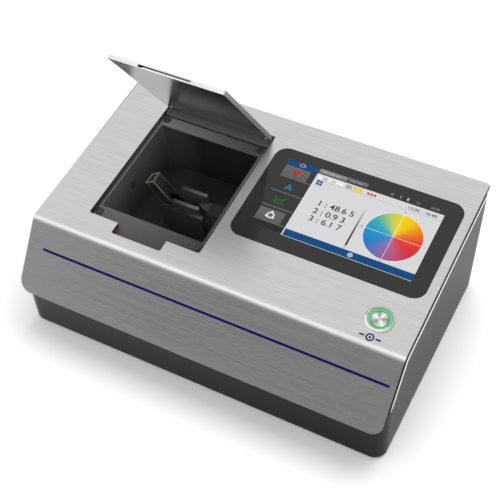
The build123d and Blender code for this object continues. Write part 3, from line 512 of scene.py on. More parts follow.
@dataclass(frozen=True)
class HolderCoat(Finish):
    """Black coat with a painted highlight on the tops of the arms, and painted light and shade by which way
    a face looks; places are in metres.
    """

    colour: Colour = (0.0648, 0.0675, 0.0675)
    # colour of the painted highlight
    painted_highlight: Colour = (0.185, 0.19, 0.197)
    level: float = DECK.level(-20.3)  # height above which the highlight is painted
    step: float = DECK.level(-27.5)  # height of the step in front, where a weaker highlight is painted
    fade: Pair = (-0.081, -0.058)  # x from which the painted highlight on the tops begins, and where it is full
    step_fade: Pair = (-0.070, -0.054)  # the same for the step
    level_tone: float = 0.55  # painted light and shade: tone of the coat where it looks up
    upright_tone: float = 2.4  # painted light and shade: tone of the coat where it stands upright

    def paint(self, g: Graph) -> None:
        """Height square off the deck parts the coat from the painted highlight on the tops, which fades out
        to the left.
        """
        height, x = g.height(), g.place(X)
        scuff = g.noise(400)
        above = g.plus(height, g.times(g.off(scuff, 0.5), 0.3 * MM))
        # painted highlight on the tops and, weaker, on the step
        tops = g.times(g.span(above, self.level, self.level + 0.2 * MM), g.span(x, *self.fade, 0.12, 1))
        near = g.span(g.away(height, self.step), 0.2 * MM, 0.6 * MM, 1, 0)
        mask = g.plus(tops, g.times(near, g.span(x, *self.step_fade, 0.01, 0.36)))
        # painted light and shade by which way a face looks
        tone = g.times(g.span(g.facing(Z), 0.3, 0.8, self.upright_tone, self.level_tone),
                       g.vary(scuff, 0.32, 0.42))
        g.set(Base_Color=g.blend(mask, g.tint(tone, self.colour), g.tint(scuff, self.painted_highlight, 0.8, 1.2)),
              Metallic=g.times(mask, 0.6), Roughness=0.5, Specular_IOR_Level=0.3)
        g.bump(scuff, 0.00001, 0.3)


@dataclass(frozen=True)
class LedgeCoat(Finish):
    """Warm grey coat of the ledge, with painted shade that darkens it towards the front and the right;
    places are in metres.
    """

    colour: Colour = (0.275, 0.271, 0.271)  # at the rear left
    along: Pair = (-0.06, 0.07)  # y over which the painted shade darkens it
    across: Pair = (-0.10, -0.03)  # x over which the painted shade darkens it
    front: float = 0.22  # tone at the front
    right: float = 0.38  # tone at the right
    strip: float = 0.55  # tone of the strip left of the well
    painted_highlight: float = -0.1321  # x of the well's left edge, along which a highlight is painted
    # colour of the highlight painted along the well's left edge
    edge_highlight: Colour = (0.40, 0.375, 0.34)
    corner: Pair = (-0.104, -0.055)  # x and y of the notch's left corner, where shade is painted
    # colour of the shade painted at the notch's corner
    corner_shade: Colour = (0.075, 0.052, 0.04)

    def paint(self, g: Graph) -> None:
        """Tone = grain x painted-shade slopes along Y and X; then the painted highlight along the edge and
        the painted shade at the corner are laid over it.
        """
        x, y = g.place(X), g.place(Y)
        grain = g.noise(1500)
        # painted shade darkens the coat towards the front and the right
        tone = g.times(g.span(y, *self.along, self.front, 1), g.span(x, *self.across, 1, self.right),
                       g.vary(grain, 0.85, 1.15),
                       g.span(x, self.painted_highlight - 1.2 * MM, self.painted_highlight, self.strip, 1))
        # painted highlight along the well's left edge
        edge = g.span(g.away(x, self.painted_highlight), 0.2 * MM, 0.6 * MM, 0.5, 0)
        # painted shade at the notch's left corner
        spot = g.times(g.span(x, self.corner[X], self.corner[X] + 7 * MM, 0.9, 0),
                       g.span(y, self.corner[Y] - MM, self.corner[Y], 1, 0))
        coat = g.blend(edge, g.tint(tone, self.colour), self.edge_highlight)
        g.set(Base_Color=g.blend(spot, coat, self.corner_shade), Roughness=0.38, Specular_IOR_Level=0.35)
        g.bump(grain, 0.00001, 0.4)


@dataclass(frozen=True)
class WellCoat(Finish):
    """Charcoal coat of the well, with painted shade that darkens it on the floor, towards the right and
    lower down, and painted light graded up the rear wall; places are in metres.
    """

    colour: Colour = (0.165, 0.173, 0.163)  # on the walls at the left
    across: Pair = (-0.132, -0.090)  # x over which the painted shade darkens it
    right: float = 0.22  # tone at the right
    spread: float = 2.0  # how much lighter the floor is kept at the right
    bottom: float = 0.22  # tone of the floor
    heights: Pair = (DECK.level(-60.0), DECK.level(-12.0))  # between which the painted shade darkens the walls
    deep: float = 0.42  # tone at the lower height
    far: Pair = (1.25, 0.48)  # painted light: tone of the rear wall at the lower height and at the upper

    def paint(self, g: Graph) -> None:
        """Painted shade and light: tone = grain x slope along X x a drop where the face looks up x a slope
        up the rear wall x a drop lower down.
        """
        grain = g.noise(1500)
        up, x, height = g.facing(Z), g.place(X), g.height()
        level = g.span(up, 0.5, 0.9)
        floor = g.times(level, g.span(x, *self.across, 0, self.spread - 1))
        rear = g.times(g.span(g.facing(Y), -0.9, -0.6, 1, 0),
                       g.off(g.span(height, *self.heights, *self.far), 1))
        # painted shade towards the right, on the floor and lower down; painted light up the rear wall
        tone = g.times(g.span(x, *self.across, 1, self.right), g.plus(floor, 1),
                       g.span(up, 0.5, 0.9, 1, self.bottom), g.vary(grain, 0.85, 1.15), g.plus(rear, 1),
                       g.math("MAXIMUM", g.span(height, *self.heights, self.deep, 1), level))
        g.set(Base_Color=g.tint(tone, self.colour), Roughness=0.6, Specular_IOR_Level=0.2)
        g.bump(grain, 0.00001, 0.4)


@dataclass(frozen=True)
class CellEdge(Finish):
    """Frosted edge of the cell, which loses light with depth."""

    colour: Colour = (0.21, 0.19, 0.165)  # at the mouth
    heights: Pair = (DECK.level(-34.0), DECK.level(-15.0))  # between which it fades
    deep: float = 0.22  # tone at the lower height

    def paint(self, g: Graph) -> None:
        """Tone = grain x slope along the height."""
        grain = g.noise(900)
        tone = g.times(g.span(g.height(), *self.heights, self.deep, 1), g.vary(grain, 0.85, 1.15))
        g.set(Base_Color=g.tint(tone, self.colour), Roughness=0.4, Specular_IOR_Level=0.3)
        g.bump(grain, 0.000005, 0.4)


@dataclass(frozen=True)
class BlackGlass(Finish):
    """Back-printed display glass: deep grey under a hard gloss."""

    colour: Colour = srgb(22, 22, 23)

    def paint(self, g: Graph) -> None:
        """Very low noise in tone and a trace of roughness change."""
        haze = g.noise(20, 2.0, 0.5)
        g.set(Base_Color=g.tint(haze, self.colour, 0.92, 1.08), Roughness=g.vary(haze, 0.10, 0.16),
              Specular_IOR_Level=0.4)


@dataclass(frozen=True)
class ScreenLight(Finish):
    """The lit picture: colours from the mesh's own attribute, with a fine pixel grid."""

    strength: float = 0.92
    pitch: float = 0.0002  # metres between grid lines
    line: float = 0.07  # half width of a line against the pitch

    def paint(self, g: Graph) -> None:
        """Emission = attribute colour x (1 - 0.06 on a grid line)."""
        place = g.coords((1 / self.pitch, 1 / self.pitch, 1))
        nearest = g.math("MINIMUM", *(g.math("PINGPONG", g.axis(place, which), 0.5) for which in (X, Y)))
        level = g.span(g.math("LESS_THAN", nearest, self.line), 0, 1, 1.0, 0.94)
        g.set(Base_Color=(0.002,) * 3, Roughness=0.14, Specular_IOR_Level=0.06,
              Emission_Color=g.blend(level, BLACK, g.ink()), Emission_Strength=self.strength)


@dataclass(frozen=True)
class LitRing(Finish):
    """Translucent green ring lit from below."""

    colour: Colour = srgb(104, 156, 120)
    strength: float = 0.2

    def paint(self, g: Graph) -> None:
        """Tone = slow noise x the first channel of "ink"; glow = strength x the second."""
        light = g.blend(g.axis(g.ink(), 0), BLACK, g.tint(g.noise(160, 2.0, 0.5), self.colour, 0.85, 1.1))
        g.set(Base_Color=light, Roughness=0.3, Emission_Color=light,
              Emission_Strength=g.times(g.axis(g.ink(), 1), self.strength))


@dataclass(frozen=True)
class SpunSteel(Finish):
    """Steel turned on a lathe; its lines follow U, and highlights are painted in sectors round it."""

    colour: Colour = (0.80, 0.80, 0.80)
    sectors: Outline = (  # painted highlight: (turn, level) round the face, level 1 in a bright sector
        (0.0, 0.34), (0.05, 0.24), (0.12, 0.62), (0.19, 1.0), (0.25, 0.66), (0.32, 0.26), (0.39, 0.7),
        (0.453, 1.0), (0.53, 0.7), (0.60, 0.42), (0.658, 0.28), (0.74, 0.5), (0.80, 0.72), (0.867, 1.0),
        (0.94, 0.62), (1.0, 0.34))

    def paint(self, g: Graph) -> None:
        """Noise across V makes the turning lines, stops along U the painted highlight sectors; "ink" tints
        the parts.
        """
        lines = g.noise((1.5, 90, 1), uv=True)
        # painted highlight in sectors round the face
        sector_highlight = g.ramp(g.axis(g.coords(uv=True), X), self.sectors)
        tone = g.plus(g.times(g.off(lines, 0.5), 0.25), sector_highlight)
        g.set(Base_Color=g.blend(1.0, g.tint(tone, self.colour, 0.10, 1.25), g.ink(), "MULTIPLY"),
              Metallic=1.0, Anisotropic=0.8, Roughness=g.vary(lines, 0.22, 0.32))
        g.bump(lines, 0.00001, 0.3)


@dataclass(frozen=True)
class CircuitBoard(Finish):
    """Solder mask with a faint track pattern."""

    colour: Colour = (0.03, 0.20, 0.08)

    def paint(self, g: Graph) -> None:
        """Distances to the nearest point of a random cloud make tracks that are a little lighter."""
        tracks = g.out("TexVoronoi", "Distance", {"Vector": g.coords((260, 260, 60)), "Scale": 1.0})
        g.set(Base_Color=g.tint(g.span(tracks, 0.25, 0.32, 1, 0), self.colour, 1.5, 1), Roughness=0.35)
        g.bump(tracks, 0.00003, 0.3)


STEEL = BrushedSteel("brushed_cover_steel", seam=0.1779)
LID_STEEL = BrushedSteel("brushed_lid_steel", colour=(0.575, 0.575, 0.58), edge=0.42, steep=0.0)
MIRROR = PolishedSteel("mirror_liner_steel")
BRIGHT = BezelSteel("bright_bezel_steel")
PAINT = HousingPaint("housing_paint")
GREY_COAT = LedgeCoat("warm_grey_ledge")
WELL_COAT = WellCoat("charcoal_well")
HOLDER_BLACK = HolderCoat("holder_black")
RAIL_COAT = PlainMetal("warm_grey_rail", (0.20, 0.20, 0.202), 0.0, 0.38)
BLACK_METAL = PlainMetal("black_anodised", (0.02, 0.02, 0.02), 0.0, 0.45)
SATIN_BLACK = PlainMetal("satin_black_nozzle", (0.043, 0.045, 0.047), 0.2, 0.5)
BLACK_SCREW = PlainMetal("black_oxide_screw", (0.055, 0.053, 0.051), 0.4, 0.42)
DULL_ZINC = PlainMetal("dull_zinc", (0.40, 0.40, 0.39), 1.0, 0.4)
ZINC = PlainMetal("zinc_plate", (0.60, 0.60, 0.58), 1.0, 0.32)
ALUMINIUM = PlainMetal("satin_aluminium", (0.72, 0.72, 0.73), 1.0, 0.38)
BARREL_BLACK = Moulded("barrel_black", (0.011, 0.012, 0.012), 0.55, shine=0.12)
BLACK_PLASTIC = Moulded("black_plastic")
RUBBER = Moulded("black_rubber", (0.018, 0.018, 0.018), 0.7, 900, 0.00005)
FOAM = Moulded("black_foam", (0.03, 0.03, 0.03), 0.9, 1400, 0.0001)
STRIPE_INK = Moulded("navy_ink", srgb(9, 9, 84), 0.65, 1500, 0.000005, 0.06)
MARK_INK = Moulded("navy_sign_ink", srgb(16, 17, 88), 0.6, 1500, 0.000005, 0.1)
# painted light: grey of the strip behind the lid's pull slot, in place of the shade inside it
SLOT_SHADE = Moulded("slot_shade", (0.16, 0.16, 0.165), 0.6)
SMOKED = Moulded("smoked_window", (0.075, 0.078, 0.073), 0.5, relief=0.000002, shine=0.2)
CELL = ClearCell("clear_cell", ior=1.15)
CELL_EDGE = CellEdge("frosted_cell_edge")
LENS = ClearCell("clear_lens", (0.97, 0.97, 0.98))
GLASS = BlackGlass("display_glass_black")
SCREEN = ScreenLight("screen_light")
RING = LitRing("green_ring")
SPUN = SpunSteel("spun_cap_steel")
BOARD = CircuitBoard("circuit_board")

# ---- meshes -------------------------------------------------------------------------------


def raise_mesh(name: str, points: Array, faces: Sequence[Sequence[int]], smooth: bool = False,
               ink: Array | None = None, uv: Array | None = None) -> bpy.types.Object:
    """Makes an object at the origin from world points and faces.

    Args:
        name: object name.
        points: (n, 3) metres.
        faces: point numbers of each face.
        smooth: shade smooth.
        ink: (n, 3) linear colours, stored as the attribute "ink".
        uv: (n, 2) coordinates, one per point.

    Returns:
        The object, linked to the scene.
    """
    mesh = bpy.data.meshes.new(name)
    mesh.from_pydata(np.asarray(points, float).tolist(), [], [list(map(int, f)) for f in faces])
    mesh.polygons.foreach_set("use_smooth", np.full(len(mesh.polygons), smooth))
    if ink is not None:
        layer = mesh.color_attributes.new("ink", "FLOAT_COLOR", "POINT")
        rgba = np.column_stack([ink, np.ones(len(ink))]).astype(np.float32)
        layer.data.foreach_set("color", rgba.ravel())
    if uv is not None:
        corner = np.empty(len(mesh.loops), dtype=np.int32)
        mesh.loops.foreach_get("vertex_index", corner)
        layer = mesh.uv_layers.new(name="UVMap")
        layer.data.foreach_set("uv", np.asarray(uv, np.float32)[corner].ravel())
    mesh.update()
    return link(name, mesh)


def link(name: str, data: bpy.types.ID) -> bpy.types.Object:
    """An object for its data, linked to the scene."""
    made = bpy.data.objects.new(name, data)
    bpy.context.scene.collection.objects.link(made)
    return made


def grid_faces(rows: int, columns: int, wrap: bool) -> Array:
    """Quads (i, j), (i, j+1), (i+1, j+1), (i+1, j) of a grid stored row by row.

    Args:
        rows: number of rows.
        columns: points in a row.
        wrap: join the last column to the first.

    Returns:
        (n, 4) point numbers.
    """
    i, j = np.meshgrid(np.arange(rows - 1), np.arange(columns if wrap else columns - 1), indexing="ij")
    k = (j + 1) % columns
    return np.stack([i * columns + j, i * columns + k, (i + 1) * columns + k, (i + 1) * columns + j],
                    -1).reshape(-1, 4)


def seal(made: bpy.types.Object) -> bpy.types.Object:
    """Joins points that coincide, which closes seams and poles.

    Args:
        made: a new piece.

    Returns:
        The same object.
    """
    work = bmesh.new()
    work.from_mesh(made.data)
    bmesh.ops.remove_doubles(work, verts=work.verts, dist=1e-7)
    work.to_mesh(made.data)
    work.free()
    made.data.update()
    return made


def tube(name: str, place: SlopeFrame | LidFrame, rings: Sequence[Array],
         flip: bool = False) -> bpy.types.Object:
    """A closed skin over rings of equal length.

    Args:
        name: object name.
        place: the frame.
        rings: (m, 3) points each, the first and the last drawn in to a point or a line.
        flip: turn the faces round.

    Returns:
        The sealed object.
    """
    faces = grid_faces(len(rings), len(rings[0]), True)
    points = place.place(np.concatenate(list(rings)))
    return seal(raise_mesh(name, points, faces[:, ::-1] if flip else faces))


def turned(name: str, profile: Array, centre: Pair, tones: Array | None = None) -> bpy.types.Object:
    """A closed body of revolution about a line square off the deck.

    Each point is (x + r cos t, s + r sin t, h) for the profile's (r, h) and t round the circle.

    Args:
        name: object name.
        profile: (n, 2) radii and heights, from the bottom middle outwards, up and back to the top middle.
        centre: x and s of the line.
        tones: rows of radius, lowest height and a colour for the points that are at or inside that radius
            and at or above that height; later rows win.

    Returns:
        The object, with U round the circle and V along the profile.
    """
    turns = 97
    r, h = np.asarray(profile, float).T
    t = np.linspace(0, 2 * np.pi, turns)
    x = centre[0] + r[:, None] * np.cos(t)
    s = centre[1] + r[:, None] * np.sin(t)
    points = np.stack([x, s, np.broadcast_to(h[:, None], x.shape)], -1).reshape(-1, 3)
    along = np.concatenate([[0], np.cumsum(np.hypot(np.diff(r), np.diff(h)))])
    uv = np.stack(np.broadcast_arrays(t / (2 * np.pi), (along / along[-1])[:, None]), -1).reshape(-1, 2)
    ink = None
    if tones is not None:
        ink = np.ones((len(r), 3))
        for radius, low, *colour in tones:
            ink[(r <= radius) & (h >= low)] = colour
        ink = np.repeat(ink, turns, axis=0)
    return seal(raise_mesh(name, DECK.place(points), grid_faces(len(r), turns, False), True, ink, uv))


def rounded(points: Sequence[Pair], radii: Sequence[float]) -> Array:
    """A polyline with each inner corner replaced by an arc of its own radius.

    The arc's middle lies on the corner's bisector, radius / sin(half) from the corner.

    Args:
        points: corners (r, h), ends included.
        radii: one radius per inner corner.

    Returns:
        The (n, 2) outline.
    """
    steps = 6
    p = np.asarray(points, float)
    out = [p[:1]]
    for i, radius in enumerate(radii, start=1):
        a, b = p[i - 1] - p[i], p[i + 1] - p[i]
        a, b = a / np.linalg.norm(a), b / np.linalg.norm(b)
        half = math.acos(float(np.clip(a @ b, -1, 1))) / 2
        cut = radius / math.tan(half)
        middle = p[i] + (a + b) / np.linalg.norm(a + b) * radius / math.sin(half)
        first, last = p[i] + a * cut - middle, p[i] + b * cut - middle
        t = np.linspace(0, math.atan2(first[0] * last[1] - first[1] * last[0], first @ last), steps)
        out.append(middle + np.stack([first[0] * np.cos(t) - first[1] * np.sin(t),
                                      first[0] * np.sin(t) + first[1] * np.cos(t)], 1))
    return np.concatenate([*out, p[-1:]])


def dress(finish: Finish, *nodes: str) -> None:
    """Gives CAD nodes a finish.

    Args:
        finish: the finish.
        nodes: their names.
    """
    for name in nodes:
        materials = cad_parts[name].data.materials
        materials.clear()
        materials.append(finish.material())


def finish_piece(piece: bpy.types.Object, finish: Finish, body: str, slot: str, *replaces: str) -> None:
    """Gives a new piece its material and its body, and hides the solids it stands for.

    Args:
        piece: the piece.
        finish: its finish.
        body: what it rides on.
        slot: its slot in the record; not used.
        replaces: CAD nodes that it stands for.
    """
    piece.data.materials.append(finish.material())
    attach(piece, body)
    if replaces:
        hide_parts(*replaces)
    log.info("%s: %d faces on %s", piece.name, len(piece.data.polygons), body)


# ---- screen drawing -----------------------------------------------------------------------


@dataclass
class Drawing:
    """Flat coloured shapes on the deck, collected into one mesh; colours are 8-bit display values."""

    level: float = 0.23  # height of the lowest layer above the deck
    step: float = 0.012  # height between layers
    points: list[Array] = field(default_factory=list)
    faces: list[list[int]] = field(default_factory=list)
    inks: list[Array] = field(default_factory=list)

    def add(self, outline: Array, faces: Sequence[Sequence[int]], layer: int, ink: Array | Colour) -> None:
        """Adds faces to one layer.

        Args:
            outline: (n, 2) points x, s.
            faces: point numbers of each face.
            layer: 0 is the lowest.
            ink: one colour, or one for each point.
        """
        count = sum(map(len, self.points))
        height = np.full(len(outline), self.level + self.step * layer)
        self.points.append(np.column_stack([outline, height]))
        self.inks.append(np.broadcast_to(to_linear(np.asarray(ink, float) / 255), (len(outline), 3)))
        self.faces.extend([[int(k) + count for k in face] for face in faces])

    def shape(self, outline: Sequence[Pair], layer: int, ink: Array | Colour) -> None:
        """A filled outline, counter-clockwise."""
        self.add(outline, [range(len(outline))], layer, ink)

    def box(self, x0: float, x1: float, s0: float, s1: float, layer: int, ink: Colour,
            rear: Colour | None = None) -> None:
        """A rectangle; rear is the colour of its rear edge when it fades."""
        self.shape([(x0, s0), (x1, s0), (x1, s1), (x0, s1)], layer, [ink, ink, rear or ink, rear or ink])

    def disc(self, x: float, s: float, radius: float, inner: float, layer: int, ink: Colour,
             turns: int = 48) -> None:
        """A disc or a ring: x + r cos t, s + r sin t.

        Args:
            x: middle.
            s: middle.
            radius: outer radius.
            inner: inner radius of a ring, or 0.
            layer: drawing layer.
            ink: colour.
            turns: points round it.
        """
        k = np.arange(turns)
        t = 2 * np.pi * k / turns
        rim = np.stack([np.cos(t), np.sin(t)], 1)
        if not inner:
            self.shape((x, s) + radius * rim, layer, ink)
            return
        n = (k + 1) % turns
        self.add((x, s) + np.concatenate([radius * rim, inner * rim]),
                 np.stack([k, n, n + turns, k + turns], 1), layer, ink)

    def line(self, x0: float, s0: float, x1: float, s1: float, width: float, layer: int,
             ink: Colour) -> None:
        """A stroke: its ends moved sideways by half of its width.

        Args:
            x0: first end.
            s0: first end.
            x1: other end.
            s1: other end.
            width: of the stroke.
            layer: drawing layer.
            ink: colour.
        """
        along = np.array([x1 - x0, s1 - s0])
        side = np.array([-along[1], along[0]]) / np.hypot(*along) * width / 2
        a, b = np.array([x0, s0]), np.array([x1, s1])
        self.shape(np.array([a - side, b - side, b + side, a + side]), layer, ink)

    def words(self, text: str, x: float, s: float, height: float, layer: int, ink: Colour,
              spread: float = 1.0, weight: float = 0.0) -> None:
        """Plain characters from the built-in face, made into flat faces.

        Args:
            text: numbers and signs.
            x: left end.
            s: base line.
            height: height of a digit.
            layer: drawing layer.
            ink: colour.
            spread: width of the characters against their height.
            weight: how far the strokes swell, as a share of the type size.
        """
        digit = 0.69  # height of a digit against the type size
        curve = bpy.data.curves.new("numbers", "FONT")
        curve.body = text
        curve.offset = weight
        holder = link("numbers", curve)
        mesh = bpy.data.meshes.new_from_object(holder.evaluated_get(bpy.context.evaluated_depsgraph_get()))
        flat = np.empty(len(mesh.vertices) * 3)
        mesh.vertices.foreach_get("co", flat)
        outline = flat.reshape(-1, 3)[:, :2] * (height / digit) * (spread, 1) + (x, s)
        self.add(outline, [list(face.vertices) for face in mesh.polygons], layer, ink)
        bpy.data.objects.remove(holder)
        bpy.data.curves.remove(curve)
        bpy.data.meshes.remove(mesh)

    def wheel(self, x: float, s: float, radius: float, layer: int) -> None:
        """A disc of hues: hue runs round it from a table, and a warm grey mixes in towards the middle.

        Args:
            x: middle.
            s: middle.
            radius: outer radius.
            layer: drawing layer.
        """
        rings, turns = 12, 144
        t = np.linspace(0, 2 * np.pi, turns, endpoint=False)
        stops = np.radians([0, 35, 62, 88, 118, 150, 185, 215, 250, 290, 330, 360])
        table = np.array([(238, 60, 30), (246, 140, 20), (252, 205, 0), (250, 225, 20), (190, 212, 110),
                          (60, 178, 190), (20, 148, 214), (30, 130, 205), (120, 110, 185), (190, 84, 130),
                          (222, 40, 58), (238, 60, 30)])
        hue = np.stack([np.interp(t, stops, table[:, k]) for k in range(3)], 1)
        pale = 0.80 * hue + 0.20 * np.array([216.75, 204.0, 178.5])
        share = np.linspace(0, 1, rings)[:, None]
        ink = pale * (1 - share[:, None]) + hue * share[:, None]
        points = np.stack([x + radius * share * np.cos(t), s + radius * share * np.sin(t)], -1)
        self.add(points.reshape(-1, 2), grid_faces(rings, turns, True)[:, ::-1], layer, ink.reshape(-1, 3))

    def piece(self, name: str) -> bpy.types.Object:
        """The collected shapes as one object on the deck."""
        points = DECK.place(np.concatenate(self.points))
        return raise_mesh(name, points, self.faces, ink=np.concatenate(self.inks))


# ---- sub-assemblies -----------------------------------------------------------------------


@dataclass
class Chassis:
    """Cover, housing, base, feet and the brackets between them."""

    stripe_ends: Pair = (-162.5, 172.6)  # x
    stripe_middle: float = -27.0  # place down the apron
    stripe_width: float = 2.3
    stripe_height: float = 0.12  # how proud the ink is
    stripe_taper: Outline = ((0, 0), (0.05, 0.6), (0.2, 0.9), (0.5, 1))  # (from the end, share)

    def stripe(self) -> bpy.types.Object:
        """A printed bar: its section is an arch, w/2 cos t across and height sin t ^ 0.35 up.

        Returns:
            The closed bar, whose ends are drawn in.
        """
        first, last = self.stripe_ends
        step, share = np.array(self.stripe_taper).T
        x = np.concatenate([first + step, np.linspace(first + 2, last - 2, 60), last - step[::-1]])
        narrow = np.interp(np.minimum(x - first, last - x), step, share)
        t = np.linspace(0, np.pi, 9)
        across = self.stripe_middle + narrow[:, None] * self.stripe_width / 2 * np.cos(t)
        up = narrow[:, None] * self.stripe_height * np.sin(t) ** 0.35
        across = np.concatenate([across, across[:, -2:0:-1]], 1)
        up = np.concatenate([up, np.zeros_like(up[:, 1:-1])], 1)
        rings = np.stack([np.broadcast_to(x[:, None], across.shape), across, up], -1)
        return tube("stripe_print", APRON, rings, flip=True)

    def build(self) -> None:
        """Dresses the solids and prints the stripe."""
        finish_piece(self.stripe(), STRIPE_INK, "body", "stripe_blue", "apron_stripe")
        dress(STEEL, "steel_cover")
        dress(PAINT, "lower_housing")
        dress(RUBBER, "rubber_feet")
        dress(ZINC, "base_plate", "front_brackets", "rear_brackets")
        dress(ZINC, "cover_studs", "hex_nuts", "base_screws", "foot_screws", "rear_wall_screws")


@dataclass
class Lid:
    """Hinged lid with its brushed skin and mirror liner."""

    slot_ends: Pair = (-99.4, -54.6)  # x of the grey strip behind the pull slot, painted light in place of the shade inside it
    slot_s: float = 25.9  # its place along the lid
    slot_h: float = -2.0  # its middle height
    slot_width: float = 1.9  # its height across the slot
    slot_bulge: float = 0.35  # how far it bulges towards the slot

    def shade(self) -> bpy.types.Object:
        """A strip whose section is w/2 cos t across the slot and bulge sin t towards it; its grey is
        painted light inside the slot.

        Returns:
            The closed strip.
        """
        x = np.linspace(*self.slot_ends, 30)
        arch = np.linspace(0, np.pi, 9)
        t = np.concatenate([arch, np.linspace(np.pi, 0, 5)[1:-1]])
        back = np.full(3, -0.3)
        h = self.slot_h + self.slot_width / 2 * np.cos(t)
        s = self.slot_s - self.slot_bulge * np.concatenate([np.sin(arch), back])
        rings = [np.stack([np.full_like(t, value), s, h], -1) for value in x]
        caps = [np.tile([value, s.mean(), h.mean()], (len(t), 1)) for value in self.slot_ends]
        return tube("lid_slot_shade", LID, [caps[0], *rings, caps[1]])

    def build(self) -> None:
        """Dresses the lid and its hinge."""
        finish_piece(self.shade(), SLOT_SHADE, "lid", "black_plastic")
        dress(LID_STEEL, "lid_skin")
        dress(MIRROR, "lid_liner")
        dress(ALUMINIUM, "lid_spacers")
        dress(DULL_ZINC, "lid_screws")
        dress(RAIL_COAT, "hinge_rail")
        dress(ZINC, "hinge_pins")


@dataclass
class Cuvette:
    """Square clear cell that leans to the left in its holder."""

    side: float = 12.5
    wall: float = 1.25
    base: float = 1.5  # floor thickness
    length: float = 45.0  # from floor to mouth
    lean: float = 36.0  # degrees from upright
    mouth_x: float = -108.3  # middle of the mouth
    mouth_h: float = -9.5
    s: float = 87.7
    corner: float = 0.9  # rounding of the long edges
    arc: int = 5  # points on each corner

    def ring(self, half: float, radius: float, z: float) -> Array:
        """A square with rounded corners: corner middles plus radius (cos t, sin t).

        Args:
            half: half of its width.
            radius: of the corners.
            z: its height in the upright cell.

        Returns:
            (4 arc, 3) points.
        """
        t = np.radians(np.linspace(0, 90, self.arc))[None] + np.radians([0, 90, 180, 270])[:, None]
        signs = np.array([(1, 1), (-1, 1), (-1, -1), (1, -1)])[:, None]
        flat = (signs * (half - radius) + radius * np.stack([np.cos(t), np.sin(t)], -1)).reshape(-1, 2)
        return np.column_stack([flat, np.full(len(flat), z)])

    def surface(self) -> tuple[Array, Array, Array]:
        """Rings from the outside of the floor up the wall, over the lip and down the inside.

        The upright cell's (x, y, z) goes to x cos - z sin, x sin + z cos for the lean.

        Returns:
            World points, quads, and 1 for each quad on a moulded edge.
        """
        out, bore, top = self.side / 2, self.side / 2 - self.wall, self.length
        rows = [(0, 0, 0), (out - 0.5, 0.4, 0), (out - 0.12, 0.7, 0.12), (out, self.corner, 0.5),
                (out, self.corner, 1.6), (out, self.corner, top - 0.7), (out, self.corner, top - 0.2),
                (out - 0.15, 0.7, top), (bore + 0.15, 0.5, top), (bore, 0.4, top - 0.2),
                (bore, 0.4, top - 0.7), (bore, 0.4, self.base + 0.5), (bore - 0.3, 0.3, self.base),
                (0, 0, self.base)]
        x, y, z = np.concatenate([self.ring(*row) for row in rows]).T
        c, k = circle(self.lean)
        foot_x, foot_h = self.mouth_x + self.length * k, self.mouth_h - self.length * c
        points = DECK.place(np.stack([foot_x + x * c - z * k, self.s + y, foot_h + x * k + z * c], 1))
        columns = 4 * self.arc
        quads = grid_faces(len(rows), columns, True)
        row, column = quads[:, 0] // columns, quads[:, 0] % columns
        on_corner = (column % self.arc < self.arc - 1) & (row > 0) & (row < 8)
        on_lip = (row >= 5) & (row <= 9)
        on_foot = (row >= 1) & (row <= 3)
        return points, quads, on_corner | on_lip | on_foot

    def build(self) -> None:
        """Makes the cell with frosted edges."""
        points, quads, edge = self.surface()
        cell = raise_mesh("cuvette_cell", points, quads)
        finish_piece(cell, CELL, "cuvette", "clear_glass", "cuvette")
        cell.data.materials.append(CELL_EDGE.material())
        cell.data.polygons.foreach_set("material_index", edge.astype(np.int32))
        seal(cell)


@dataclass
class PanHeads:
    """Cross-recessed pan heads of the four screws in the ledge."""

    radius: float = 3.7
    height: float = 1.3
    shoulder: float = 0.9  # rounding of the crown's rim
    crown: float = 0.06  # how far the crown falls towards the shoulder
    sink: float = 0.8  # depth of the cross
    seat: float = -5.5  # h of the ledge
    length: float = 7.0  # of the shank
    shank: float = 2.0  # its radius
    places: Outline = ((-129.6, 31.8), (-129.6, 153.5), (-29.6, 31.8), (-29.6, 153.5))
    turns: int = 72

    def head(self, turn: float) -> Array:
        """Rings of (x, y, z): a flat crown with a rounded shoulder, sunk inside a cross.

        With u and v along the cross, it is full where the smaller of |u| and |v| is under 0.35 and the
        larger under 1.7, and it fades out over the next 0.2 and 0.3.

        Args:
            turn: angle of the cross, in radians.

        Returns:
            (rings, turns, 3) millimetres from the middle of the seat.
        """
        t = np.linspace(0, 2 * np.pi, self.turns, endpoint=False)
        flat = self.radius - self.shoulder
        crown = np.linspace(0, flat, 16)
        bend = np.radians(np.linspace(10, 90, 6))
        r = np.concatenate([crown, flat + self.shoulder * np.sin(bend),
                            [self.radius, self.shank, self.shank, 0]])
        z = np.concatenate([self.height - self.crown * (crown / self.radius) ** 2,
                            self.height - self.crown - self.shoulder * (1 - np.cos(bend)),
                            [0.0, 0.0, -self.length, -self.length]])
        r, z = r[:, None], z[:, None]
        u, v = np.abs(r * np.cos(t + turn)), np.abs(r * np.sin(t + turn))
        across = np.clip((0.55 - np.minimum(u, v)) / 0.2, 0, 1)
        along = np.clip((2.0 - np.maximum(u, v)) / 0.3, 0, 1)
        sunk = self.sink * across * along * (z > self.height / 2)
        return np.stack([r * np.cos(t), r * np.sin(t), z - sunk], -1)

    def build(self) -> None:
        """One mesh of four screws, each turned its own way."""
        heads = [self.head(0.4 + 0.9 * number) + (*place, self.seat)
                 for number, place in enumerate(self.places)]
        quads = grid_faces(len(heads[0]), self.turns, True)[:, ::-1]
        faces = np.concatenate([quads + number * heads[0][..., 0].size for number in range(len(heads))])
        points = DECK.place(np.concatenate(heads).reshape(-1, 3))
        made = seal(raise_mesh("ledge_screw_heads", points, faces, True))
        finish_piece(made, BLACK_SCREW, "body", "black_anodised", "frame_screws")


